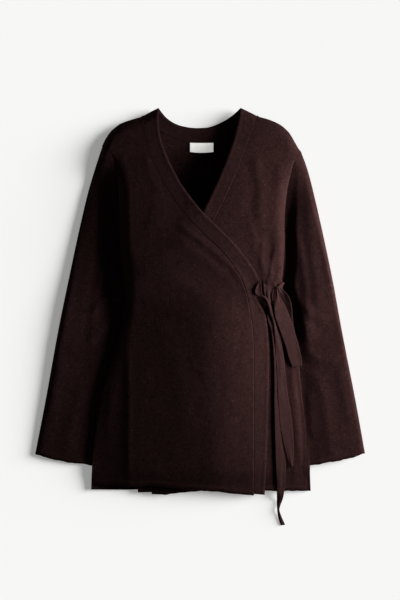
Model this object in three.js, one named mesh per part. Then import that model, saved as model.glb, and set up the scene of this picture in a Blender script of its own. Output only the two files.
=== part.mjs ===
// A long-sleeved wrap cardigan in felted wool knit, laid out flat on its back and tied at one side.
// Millimetres, +Z up off the surface it lies on, +Y towards the neck, +X towards the wearer's left.
// Every piece of cloth is a wall worked out from a few outlines and heights: the outline tables give
// the cut as it lies, the height functions give how far the cloth stands off the surface.
import * as THREE from "three";

// Cloth and sewing
const CLOTH = 2.0; // felted knit
const BAND_CLOTH = 2.6; // the edge band is knitted tighter and thicker
const RIBBON_CLOTH = 1.6;
const LABEL_CLOTH = 1;
const SEAM_GAP = 0.3;
const LAYER_GAP = 1.0; // between two layers that lie on each other
const SEAM_SPREAD = 1.01; // widens the back's neck edge, so that it clears the ends of its band

// How the garment lies
const UNDERARM_Y = 88;
const UNDERARM_SHARE = 0.64; // share of a panel's rows that lie below the underarm
const SHOULDER_Z = 12; // height of the shoulder seam, halfway round the shoulder's fold
const SHOULDER_FOLD = 20; // how far in from the shoulder's edge its fold reaches
const SIDE_FOLD = 22;
const SLEEVE_TUCK_Z = 8.5; // height of the sleeve where it lies under the body
const SLEEVE_OUTER_FOLD = 17;
const SLEEVE_INNER_FOLD = 8;
const UNDERARM_OPENING = 42; // length over which front and back part at the underarm
const TUCK_LIFT = 10.5; // how far the tucked sleeves lift the back panel's sides
const TUCK_SLOPE = 38; // length over which the lifted back comes down again
const TUCK_MARGIN = 4; // how far past the sleeve's edge the back stays lifted
const TUCK_TOP = 126; // the height up the body at which the lift starts
const TUCK_HEM = { from: -344, to: -278 }; // where it comes down towards the hem
const COVER = { start: 72, rise: 76 }; // where the over front climbs onto the under front's band
const CHEST_START = { y: -10, run: 80 }; // the body is flatter from this far up, over this length
const EDGE_SPRING = 4.5; // how far the over front's free edge stands off below the waist
const EDGE_SPRING_REACH = 42;
const EDGE_SPRING_START = { y: 20, run: 60 }; // it starts this far up, and grows over this length
const HEM_LEVEL = -330;
const BACK_HEM_X = 206; // where the back's side seams meet its hem
const BAND_SLANT = { from: 0.5, to: 0.9 }; // where the bands run slanting over the chest

// Outlines as they lie, a row for each section up the body
// left and right: the side seams below the underarm, the armhole seams above it
const SIDES = [
  { y: -345, left: -207, right: 210.5 },
  { y: -285, left: -204.5, right: 207.5 },
  { y: -235, left: -200.5, right: 202.5 },
  { y: -160, left: -189, right: 194 },
  { y: -121, left: -179.5, right: 190 },
  { y: -83, left: -167.5, right: 186 },
  { y: -45, left: -155.5, right: 179.5 },
  { y: -7, left: -147, right: 170.5 },
  { y: 31, left: -142.5, right: 161.5 },
  { y: 60, left: -142.5, right: 155.5 },
  { y: UNDERARM_Y, left: -145.5, right: 157 },
  { y: 126, left: -151, right: 160.5 },
  { y: 183, left: -153, right: 160.5 },
  { y: 236, left: -154, right: 165 },
  { y: 270, left: -156, right: 172 },
  { y: 292, left: -160, right: 178 },
  { y: 305, left: -166, right: 185.5 },
  { y: 313, left: -174.5, right: 197 },
  { y: 320, left: -187, right: 208 },
];
const TIP_Y = { left: 319.5, right: 310 };

// the shoulder's edge, from the neck out to the armhole
const SHOULDERS = [
  { x: 76, left: 395.5, right: 395.2 },
  { x: 95, left: 387, right: 386.4 },
  { x: 109, left: 378.8, right: 379 },
  { x: 131, left: 372, right: 372.4 },
  { x: 150, left: 365, right: 364 },
  { x: 160, left: 358, right: 356.5 },
  { x: 170, left: 349, right: 346 },
  { x: 180, left: 334, right: 329 },
  { x: 187, left: 318.5, right: 317 },
  { x: 195, left: 301, right: 307.5 },
];

// a front's band, from the hem to the neck: its free edge and the seam that joins it to the front
const OVER_BAND = [
  { t: 0, edgeX: 122.6, edgeY: -338.5, seamX: 101.6, seamY: -336.5 },
  { t: 0.11, edgeX: 126.5, edgeY: -252, seamX: 101.4, seamY: -250 },
  { t: 0.225, edgeX: 129.4, edgeY: -159, seamX: 101.6, seamY: -158 },
  { t: 0.345, edgeX: 130.3, edgeY: -64, seamX: 101.4, seamY: -66 },
  { t: 0.415, edgeX: 126.5, edgeY: -8, seamX: 98.5, seamY: -15 },
  { t: 0.48, edgeX: 119.5, edgeY: 41, seamX: 91, seamY: 27 },
  { t: 0.525, edgeX: 109.5, edgeY: 76, seamX: 82, seamY: 61 },
  { t: 0.57, edgeX: 89.3, edgeY: 107, seamX: 68, seamY: 88 },
  { t: 0.62, edgeX: 64, edgeY: 138.5, seamX: 45.5, seamY: 117.5 },
  { t: 0.68, edgeX: 31, edgeY: 171.5, seamX: 13, seamY: 149.5 },
  { t: 0.735, edgeX: -1.5, edgeY: 204.5, seamX: -21.5, seamY: 185 },
  { t: 0.81, edgeX: -36.5, edgeY: 252, seamX: -59, seamY: 236 },
  { t: 0.88, edgeX: -61.5, edgeY: 301, seamX: -87.5, seamY: 290 },
  { t: 0.94, edgeX: -76, edgeY: 345, seamX: -103.5, seamY: 335 },
  { t: 1, edgeX: -78.9, edgeY: 394.7, seamX: -108.6, seamY: 378.9 },
];
const UNDER_BAND = [
  { t: 0, edgeX: -117.8, edgeY: -334, seamX: -91, seamY: -333.5 },
  { t: 0.126, edgeX: -119.7, edgeY: -235, seamX: -92.7, seamY: -235 },
  { t: 0.27, edgeX: -123, edgeY: -121, seamX: -96, seamY: -121 },
  { t: 0.39, edgeX: -125.4, edgeY: -26, seamX: -98.5, seamY: -28 },
  { t: 0.464, edgeX: -119.7, edgeY: 31, seamX: -94.5, seamY: 20 },
  { t: 0.514, edgeX: -105, edgeY: 69, seamX: -84.5, seamY: 51 },
  { t: 0.57, edgeX: -74, edgeY: 101, seamX: -56.5, seamY: 80 },
  { t: 0.64, edgeX: -38, edgeY: 139, seamX: -19.5, seamY: 119.5 },
  { t: 0.705, edgeX: -5.7, edgeY: 179, seamX: 14.5, seamY: 162 },
  { t: 0.757, edgeX: 13.3, edgeY: 215, seamX: 37, seamY: 202 },
  { t: 0.819, edgeX: 34.2, edgeY: 259, seamX: 59, seamY: 248 },
  { t: 0.876, edgeX: 51.3, edgeY: 301, seamX: 77, seamY: 293 },
  { t: 0.935, edgeX: 66, edgeY: 345, seamX: 93, seamY: 336 },
  { t: 1, edgeX: 76.9, edgeY: 394.7, seamX: 108.6, seamY: 379.2 },
];
// the band round the back of the neck, from shoulder to shoulder
const NECK_BAND = [
  { t: 0, edgeX: -78.9, edgeY: 394.7, seamX: -108.6, seamY: 378.9 },
  { t: 0.12, edgeX: -63.5, edgeY: 376, seamX: -87, seamY: 357 },
  { t: 0.27, edgeX: -43.5, edgeY: 363.5, seamX: -58, seamY: 341.5 },
  { t: 0.42, edgeX: -19.5, edgeY: 357.6, seamX: -26.5, seamY: 331.5 },
  { t: 0.5, edgeX: -1, edgeY: 356.7, seamX: 0, seamY: 329.4 },
  { t: 0.58, edgeX: 17.5, edgeY: 358.3, seamX: 26.5, seamY: 331.5 },
  { t: 0.73, edgeX: 41, edgeY: 367.7, seamX: 58, seamY: 341.5 },
  { t: 0.88, edgeX: 61, edgeY: 380.3, seamX: 87, seamY: 357.4 },
  { t: 1, edgeX: 76.9, edgeY: 394.7, seamX: 108.6, seamY: 379.2 },
];

// the hems, across the body
const HEMS = [
  { x: -210, over: -320, under: -334, back: -326 },
  { x: -160, over: -318.5, under: -334, back: -326.5 },
  { x: -125, over: -322, under: -334, back: -326.5 },
  { x: -90, over: -320.5, under: -335, back: -326 },
  { x: -50, over: -324, under: -334, back: -325 },
  { x: -10, over: -328, under: -330, back: -325 },
  { x: 50, over: -333, under: -329, back: -325 },
  { x: 102, over: -336.8, under: -329.5, back: -325.5 },
  { x: 150, over: -338, under: -330.5, back: -326 },
  { x: 210, over: -338, under: -330, back: -327 },
];

// the tie pulls the over front's edge in at the waist
const PINCH = { y: 38, reach: 24, depth: 14 };

// a sleeve's two long edges from the armhole to the cuff
const SLEEVES = {
  left: [
    { s: 0, outerX: -187, outerY: 319.5, innerX: -146.2, innerY: UNDERARM_Y },
    { s: 0.04, outerX: -194.5, outerY: 297, innerX: -146.6, innerY: 69 },
    { s: 0.08, outerX: -201.5, outerY: 275, innerX: -144.4, innerY: 51 },
    { s: 0.15, outerX: -211, outerY: 238, innerX: -139.6, innerY: 24 },
    { s: 0.28, outerX: -227, outerY: 164, innerX: -134.5, innerY: -24 },
    { s: 0.45, outerX: -247.5, outerY: 69, innerX: -137, innerY: -88 },
    { s: 0.62, outerX: -267.5, outerY: -26, innerX: -144.5, innerY: -150 },
    { s: 0.85, outerX: -291.5, outerY: -164, innerX: -156, innerY: -236 },
    { s: 1, outerX: -312.6, outerY: -260.8, innerX: -161.5, innerY: -292 },
  ],
  right: [
    { s: 0, outerX: 194, outerY: 310, innerX: 157.8, innerY: UNDERARM_Y },
    { s: 0.04, outerX: 200, outerY: 288, innerX: 158.2, innerY: 69 },
    { s: 0.08, outerX: 206, outerY: 266, innerX: 156.4, innerY: 51 },
    { s: 0.15, outerX: 214, outerY: 232, innerX: 152, innerY: 24 },
    { s: 0.28, outerX: 228, outerY: 160, innerX: 144.5, innerY: -24 },
    { s: 0.45, outerX: 245.5, outerY: 66, innerX: 143, innerY: -88 },
    { s: 0.62, outerX: 262, outerY: -29, innerX: 147, innerY: -150 },
    { s: 0.85, outerX: 291, outerY: -164, innerX: 156, innerY: -236 },
    { s: 1, outerX: 312.6, outerY: -259, innerX: 161.5, innerY: -292 },
  ],
};

// Heights above the surface
// crown: top of the lowest front layer near the body's middle; seam: the front's side seam or armhole seam
const BODY_HEIGHTS = [
  { y: -345, crown: 19.5, seam: 9 },
  { y: -300, crown: 25, seam: 15 },
  { y: -200, crown: 31, seam: 18 },
  { y: -80, crown: 33.5, seam: 19 },
  { y: 30, crown: 33.5, seam: 19 },
  { y: 70, crown: 34, seam: 18.5 },
  { y: UNDERARM_Y, crown: 35, seam: 17 },
  { y: 102, crown: 36, seam: 14 },
  { y: 128, crown: 37, seam: 11.5 },
  { y: 200, crown: 37, seam: 11 },
  { y: 240, crown: 35, seam: 12 },
  { y: 265, crown: 33, seam: 14.5 },
  { y: 290, crown: 31, seam: 18.5 },
  { y: 310, crown: 29, seam: 21.5 },
  { y: 400, crown: 23, seam: 22 },
];
// across: from the wearer's right side, -1, to the left side, 1; waist, chest: shares of the crown there
const CROWN = [
  { across: -1, waist: 0.78, chest: 0.82 },
  { across: -0.8, waist: 0.81, chest: 0.89 },
  { across: -0.57, waist: 0.87, chest: 0.95 },
  { across: -0.35, waist: 0.95, chest: 1 },
  { across: -0.13, waist: 1.06, chest: 1.03 },
  { across: 0.05, waist: 1.12, chest: 1.04 },
  { across: 0.15, waist: 1.13, chest: 1.04 },
  { across: 0.3, waist: 1.1, chest: 1.02 },
  { across: 0.45, waist: 1.03, chest: 1 },
  { across: 0.63, waist: 0.93, chest: 0.95 },
  { across: 0.82, waist: 0.83, chest: 0.88 },
  { across: 1, waist: 0.76, chest: 0.8 },
];
const SLEEVE_HEIGHTS = [
  { s: 0, top: 22 },
  { s: 0.2, top: 25 },
  { s: 0.6, top: 25 },
  { s: 0.85, top: 21 },
  { s: 1, top: 15 },
];

// The largest soft folds: a ridge (or a trough, if the height is negative) between two points
const OVER_FOLDS = [
  { fromX: -42, fromY: 150, toX: 84, toY: 44, reach: 17, height: 3.2 },
  { fromX: -84, fromY: 92, toX: 52, toY: 8, reach: 17, height: 2.4 },
  { fromX: -118, fromY: 60, toX: 20, toY: -24, reach: 20, height: 1.8 },
  { fromX: 34, fromY: -306, toX: 64, toY: -60, reach: 30, height: 3.4 },
  { fromX: -84, fromY: -310, toX: -76, toY: -90, reach: 24, height: 2.4 },
  { fromX: -66, fromY: 214, toX: -128, toY: 96, reach: 22, height: 2.2 },
];
const UNDER_FOLDS = [
  { fromX: 148, fromY: 104, toX: 172, toY: 196, reach: 13, height: 2.4 },
  { fromX: 140, fromY: 84, toX: 126, toY: 158, reach: 11, height: -2 },
  { fromX: 172, fromY: -70, toX: 193, toY: -290, reach: 8, height: 2.4 },
];

// Colours
const WOOL = 0x2b1819;
const RIBBON = 0x38201f;
const LABEL = 0xe9e8e6;

const clamp = (t) => Math.min(1, Math.max(0, t));
const lerp = (a, b, t) => a + (b - a) * t;
const ease = (t) => clamp(t) ** 2 * (3 - 2 * clamp(t));
// a quarter of a round: 0 at the fold's edge, 1 where the cloth is level
const round = (t) => (t >= 1 ? 1 : Math.sqrt(Math.max(0, 1 - (1 - Math.max(0, t)) ** 2)));

// The smooth curve through a column of a table, at a value of its first column
function along(rows, key, column, at) {
  const last = rows.length - 1;
  let i = 0;
  while (i < last - 1 && at > rows[i + 1][key]) i++;
  const slope = (k) => {
    const a = rows[Math.max(0, k - 1)];
    const b = rows[Math.min(last, k + 1)];
    return (b[column] - a[column]) / (b[key] - a[key]);
  };
  const from = rows[i];
  const to = rows[i + 1];
  const gap = to[key] - from[key];
  const t = clamp((at - from[key]) / gap);
  return (
    (2 * t ** 3 - 3 * t ** 2 + 1) * from[column] +
    (t ** 3 - 2 * t ** 2 + t) * gap * slope(i) +
    (3 * t ** 2 - 2 * t ** 3) * to[column] +
    (t ** 3 - t ** 2) * gap * slope(i + 1)
  );
}

const sideX = (side, y) => along(SIDES, "y", side, y);
const shoulderY = (side, x) => along(SHOULDERS, "x", side, Math.abs(x));
const sideOf = (x) => (x < 0 ? "left" : "right");

// How far a point lies inside the shoulder's edge
function insideShoulder(x, y) {
  const side = sideOf(x);
  const run = 1;
  const slope = (shoulderY(side, Math.abs(x) + run) - shoulderY(side, Math.abs(x) - run)) / (2 * run);
  return (shoulderY(side, x) - y) / Math.hypot(1, slope);
}

// How far a point lies inside the nearer side seam or armhole seam
const insideSide = (x, y) => (x < 0 ? x - sideX("left", y) : sideX("right", y) - x);

// The x of a band's free edge or seam at a height up the body
function bandX(rows, column, y) {
  const key = column.replace("X", "Y");
  return along(rows, key, column, y);
}

// How high the soft folds stand at a point
function foldsAt(folds, x, y) {
  return folds.reduce((sum, f) => {
    const dx = f.toX - f.fromX;
    const dy = f.toY - f.fromY;
    const t = ((x - f.fromX) * dx + (y - f.fromY) * dy) / (dx * dx + dy * dy);
    const away = Math.hypot(x - f.fromX - dx * clamp(t), y - f.fromY - dy * clamp(t));
    const taper = ease(t / 0.25 + 0.4) * ease((1 - t) / 0.25 + 0.4);
    return sum + f.height * taper * Math.exp(-((away / f.reach) ** 2));
  }, 0);
}

// Top of the lowest front layer, before its edges are turned down
function crownAt(x, y) {
  const low = sideX("right", y);
  const high = sideX("left", y);
  const across = Math.max(-1, Math.min(1, (2 * x - low - high) / (high - low)));
  const waist = along(CROWN, "across", "waist", across);
  const chest = along(CROWN, "across", "chest", across);
  const share = lerp(waist, chest, ease((y - CHEST_START.y) / CHEST_START.run));
  return along(BODY_HEIGHTS, "y", "crown", y) * share;
}

// 1 where the over front lies on the under front, 0 where it has nothing under it
function coverAt(x, y) {
  return ease((x - bandX(UNDER_BAND, "edgeX", y) + COVER.start) / COVER.rise);
}

// How far the over front stands off the lowest layer
function overLift(x, y) {
  const toEdge = bandX(OVER_BAND, "edgeX", y) - x;
  const belowWaist = ease((EDGE_SPRING_START.y - y) / EDGE_SPRING_START.run);
  const spring = EDGE_SPRING * belowWaist * ease(1 - toEdge / EDGE_SPRING_REACH);
  return (BAND_CLOTH + LAYER_GAP) * coverAt(x, y) + spring + foldsAt(OVER_FOLDS, x, y);
}

// Turns a level down to a seam at the side and at the shoulder
function turnedDown(level, x, y) {
  const seam = along(BODY_HEIGHTS, "y", "seam", y);
  const side = lerp(seam, level, round(insideSide(x, y) / SIDE_FOLD));
  return lerp(SHOULDER_Z, side, round(insideShoulder(x, y) / SHOULDER_FOLD));
}
const underTop = (x, y) => turnedDown(crownAt(x, y) + foldsAt(UNDER_FOLDS, x, y), x, y);
const overTop = (x, y) => turnedDown(crownAt(x, y) + overLift(x, y), x, y);

// The back panel's underside: flat on the surface, lifted by the tucked sleeves, turned up at its seams
function backSeamZ(y) {
  const seam = along(BODY_HEIGHTS, "y", "seam", y) - 2 * SEAM_GAP;
  return seam * (1 - round((y - UNDERARM_Y) / UNDERARM_OPENING));
}
function tuckLift(x, y) {
  const rows = SLEEVES[sideOf(x)];
  const byHeight = [...rows].reverse();
  const inner = along(byHeight, "innerY", "innerX", Math.min(y, UNDERARM_Y));
  const pastSleeve = Math.abs(inner) - Math.abs(x) - TUCK_MARGIN;
  const top = ease((TUCK_TOP - y) / TUCK_SLOPE);
  const ends = top * ease((y - TUCK_HEM.from) / (TUCK_HEM.to - TUCK_HEM.from));
  return TUCK_LIFT * ends * (1 - ease(pastSleeve / TUCK_SLOPE));
}
function backBottom(x, y) {
  const lift = tuckLift(x, y);
  const side = lerp(backSeamZ(y), lift, round(insideSide(x, y) / SIDE_FOLD));
  return lerp(SHOULDER_Z - SEAM_GAP, side, round(insideShoulder(x, y) / SHOULDER_FOLD));
}

// Steps round a fold: shares of its reach, closer together at its edge
const foldSteps = (count) =>
  Array.from({ length: count }, (_, i) => 1 - Math.cos((i / count) * (Math.PI / 2)));
const evenSteps = (from, to, count) =>
  Array.from({ length: count + 1 }, (_, i) => lerp(from, to, i / count));

// Rows up a panel, shared by every piece that meets at the armholes
const ARMHOLE_LENGTH = 235;
const ARMHOLE_STEPS = [
  ...foldSteps(2).map((f) => (f * SLEEVE_INNER_FOLD) / ARMHOLE_LENGTH),
  ...evenSteps(SLEEVE_INNER_FOLD, ARMHOLE_LENGTH - SLEEVE_OUTER_FOLD, 9).map((d) => d / ARMHOLE_LENGTH),
  ...foldSteps(3)
    .reverse()
    .map((f) => 1 - (f * SLEEVE_OUTER_FOLD) / ARMHOLE_LENGTH),
];
const ROWS = [
  ...evenSteps(0, UNDERARM_SHARE, 13).slice(0, -1),
  ...ARMHOLE_STEPS.map((w) => lerp(UNDERARM_SHARE, 1, w)),
];

// The height up the side at a row
function sideY(side, hemY, v) {
  return v < UNDERARM_SHARE
    ? lerp(hemY, UNDERARM_Y, v / UNDERARM_SHARE)
    : lerp(UNDERARM_Y, TIP_Y[side], (v - UNDERARM_SHARE) / (1 - UNDERARM_SHARE));
}

// A point in a patch between four edges, each a function from 0 to 1 that gives [x, y]
function patchPoint(edges, u, v) {
  const topShare = v * v;
  const at = (k) => {
    const sides = lerp(edges.near(v)[k], edges.far(v)[k], u);
    const hem = edges.hem(u)[k] - lerp(edges.near(0)[k], edges.far(0)[k], u);
    const top = edges.top(u)[k] - lerp(edges.near(1)[k], edges.far(1)[k], u);
    return sides + (1 - v) * hem + topShare * top;
  };
  return [at(0), at(1)];
}

// Unit normal of a surface given by two parameters. At a seam that is turned to the side it is level,
// so that the walls on both sides of the seam end at its height.
const SEAM_SLOPE = 0.8;
function normalAt(surface, q, r, qMax, rMax) {
  const step = 0.25;
  const q0 = Math.max(0, q - step);
  const q1 = Math.min(qMax, q + step);
  const r0 = Math.max(0, r - step);
  const r1 = Math.min(rMax, r + step);
  const across = surface(q1, r).sub(surface(q0, r));
  const up = surface(q, r1).sub(surface(q, r0));
  const normal = across.cross(up).normalize();
  const onEdge = q === 0 || q === qMax || r === rMax;
  if (onEdge && Math.abs(normal.z) < SEAM_SLOPE) normal.setZ(0).normalize();
  return normal;
}

// A closed wall on a surface: columns by rows of points and the same points moved in by the thickness.
// ring joins the last column to the first, for a tube.
function wall(surface, columns, rows, thickness, { ring = false, flip = false } = {}) {
  const outer = [];
  const inner = [];
  const qMax = ring ? Infinity : columns - 1;
  for (let r = 0; r < rows; r++)
    for (let q = 0; q < columns; q++) {
      const point = surface(q, r);
      const normal = normalAt(surface, q, r, qMax, rows - 1).multiplyScalar(flip ? -1 : 1);
      outer.push(point);
      inner.push(point.clone().addScaledVector(normal, -thickness));
    }
  const faces = [];
  const quad = (a, b, c, d) => faces.push(a, b, c, a, c, d);
  const count = outer.length;
  const at = (q, r) => r * columns + (q % columns);
  const spans = ring ? columns : columns - 1;
  for (let r = 0; r + 1 < rows; r++)
    for (let q = 0; q < spans; q++) {
      const corners = [at(q, r), at(q + 1, r), at(q + 1, r + 1), at(q, r + 1)];
      quad(...corners);
      quad(...corners.map((k) => k + count).reverse());
    }
  for (let q = 0; q < spans; q++) {
    quad(at(q + 1, 0), at(q, 0), at(q, 0) + count, at(q + 1, 0) + count);
    const r = rows - 1;
    quad(at(q, r), at(q + 1, r), at(q + 1, r) + count, at(q, r) + count);
  }
  if (!ring)
    for (let r = 0; r + 1 < rows; r++) {
      quad(at(0, r), at(0, r + 1), at(0, r + 1) + count, at(0, r) + count);
      const q = columns - 1;
      quad(at(q, r + 1), at(q, r), at(q, r) + count, at(q, r + 1) + count);
    }
  const geometry = new THREE.BufferGeometry();
  geometry.setAttribute(
    "position",
    new THREE.Float32BufferAttribute([...outer, ...inner].flatMap((p) => p.toArray()), 3),
  );
  geometry.setIndex(faces);
  return facingOut(geometry);
}

// The same geometry with its faces turned round if they point in
function facingOut(geometry) {
  const p = geometry.getAttribute("position");
  const index = geometry.getIndex().array;
  const corner = (k) => new THREE.Vector3().fromBufferAttribute(p, index[k]);
  let volume = 0;
  for (let k = 0; k < index.length; k += 3) volume += corner(k).dot(corner(k + 1).cross(corner(k + 2)));
  if (volume < 0)
    for (let k = 0; k < index.length; k += 3) [index[k + 1], index[k + 2]] = [index[k + 2], index[k + 1]];
  geometry.computeVertexNormals();
  return geometry;
}

// A value between two entries of a list of steps
const between = (steps, q) => {
  const i = Math.min(steps.length - 2, Math.floor(q));
  return lerp(steps[i], steps[i + 1], q - i);
};

// Distance in from a folded edge at a column: round the fold first, then in even steps to the far side
function inFromFold(q, foldCount, levelCount, reach, whole) {
  return q < foldCount
    ? reach * (1 - Math.cos((q / foldCount) * (Math.PI / 2)))
    : lerp(reach, whole, (q - foldCount) / levelCount);
}

// One front: from its side seam and armhole to the seam of its band
function front(side, band, hemColumn, top) {
  const foldCount = 4;
  const levelCount = 10;
  const toward = side === "left" ? 1 : -1;
  const hemY = along(HEMS, "x", hemColumn, sideX(side, HEM_LEVEL));
  const seam = (t) => [
    along(band, "t", "seamX", t) - toward * SEAM_GAP,
    along(band, "t", "seamY", t) - (t > BAND_SLANT.from && t < BAND_SLANT.to ? SEAM_GAP : 0),
  ];
  const edges = {
    near: (v) => {
      const y = sideY(side, hemY, v);
      return [sideX(side, y), y];
    },
    far: seam,
    hem: (u) => {
      const x = lerp(sideX(side, hemY), seam(0)[0], u);
      return [x, along(HEMS, "x", hemColumn, x)];
    },
    top: (u) => {
      const x = lerp(sideX(side, TIP_Y[side]), seam(1)[0], u);
      return [x, shoulderY(side, x)];
    },
  };
  const surface = (q, r) => {
    const v = between(ROWS, r);
    const whole = Math.hypot(edges.far(v)[0] - edges.near(v)[0], edges.far(v)[1] - edges.near(v)[1]);
    const u = inFromFold(q, foldCount, levelCount, SIDE_FOLD, whole) / whole;
    const [x, y] = patchPoint(edges, u, v);
    return new THREE.Vector3(x, y, top(x, y));
  };
  return wall(surface, foldCount + levelCount + 1, ROWS.length, CLOTH, { flip: side === "right" });
}

// A front's band, from its seam to its free edge
function frontBand(side, band, top, pinch) {
  const columns = 4;
  const surface = (q, r) => {
    const t = between(ROWS, r);
    const across = q / (columns - 1);
    const pull = pinch * Math.exp(-(((along(band, "t", "edgeY", t) - PINCH.y) / PINCH.reach) ** 2));
    const x = lerp(along(band, "t", "seamX", t), along(band, "t", "edgeX", t) - pull, across);
    const y = lerp(along(band, "t", "seamY", t), along(band, "t", "edgeY", t), across);
    return new THREE.Vector3(x, y, top(x, y));
  };
  return wall(surface, columns, ROWS.length, BAND_CLOTH, { flip: side === "right" });
}

// The back: one piece from side to side, up to the shoulders and the neck band's seam
const NECK_STEPS = 14;
function back() {
  const foldCount = 4;
  const shoulderCount = 3;
  const neckShare = 0.24; // share of the top edge that each shoulder takes
  const hemY = (x) => along(HEMS, "x", "back", x);
  const near = (v) => {
    const y = sideY("left", hemY(-BACK_HEM_X), v);
    return [sideX("left", y), y];
  };
  const far = (v) => {
    const y = sideY("right", hemY(BACK_HEM_X), v);
    return [sideX("right", y), y];
  };
  const edges = {
    near,
    far,
    hem: (u) => {
      const x = lerp(near(0)[0], far(0)[0], u);
      return [x, hemY(x)];
    },
    top: (u) => {
      if (u < neckShare) {
        const x = lerp(near(1)[0], NECK_BAND[0].seamX, u / neckShare);
        return [x, shoulderY("left", x)];
      }
      if (u > 1 - neckShare) {
        const x = lerp(far(1)[0], NECK_BAND.at(-1).seamX, (1 - u) / neckShare);
        return [x, shoulderY("right", x)];
      }
      const t = (u - neckShare) / (1 - 2 * neckShare);
      const seamX = along(NECK_BAND, "t", "seamX", t);
      return [seamX * SEAM_SPREAD, along(NECK_BAND, "t", "seamY", t) - 2 * SEAM_GAP];
    },
  };
  const columns = 2 * (foldCount + shoulderCount) + NECK_STEPS + 1;
  const shareAt = (q, whole) => {
    const half = (columns - 1) / 2;
    const fromEdge = Math.min(q, columns - 1 - q);
    const fold = SIDE_FOLD / whole;
    const share =
      fromEdge < foldCount
        ? fold * (1 - Math.cos((fromEdge / foldCount) * (Math.PI / 2)))
        : fromEdge < foldCount + shoulderCount
          ? lerp(fold, neckShare, (fromEdge - foldCount) / shoulderCount)
          : lerp(neckShare, 0.5, (fromEdge - foldCount - shoulderCount) / (NECK_STEPS / 2));
    return q <= half ? share : 1 - share;
  };
  const surface = (q, r) => {
    const v = between(ROWS, r);
    const whole = far(v)[0] - near(v)[0];
    const [x, y] = patchPoint(edges, shareAt(q, whole), v);
    return new THREE.Vector3(x, y, backBottom(x, y));
  };
  return wall(surface, columns, ROWS.length, CLOTH, { flip: true });
}

// The band round the back of the neck
function neckBand() {
  const columns = NECK_STEPS + 1;
  const rows = 4;
  const surface = (q, r) => {
    const t = q / (columns - 1);
    const across = r / (rows - 1);
    const x = lerp(along(NECK_BAND, "t", "seamX", t), along(NECK_BAND, "t", "edgeX", t), across);
    const y = lerp(along(NECK_BAND, "t", "seamY", t), along(NECK_BAND, "t", "edgeY", t), across);
    return new THREE.Vector3(x, y, backBottom(x, y));
  };
  return wall(surface, columns, rows, BAND_CLOTH, { flip: true });
}

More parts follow.
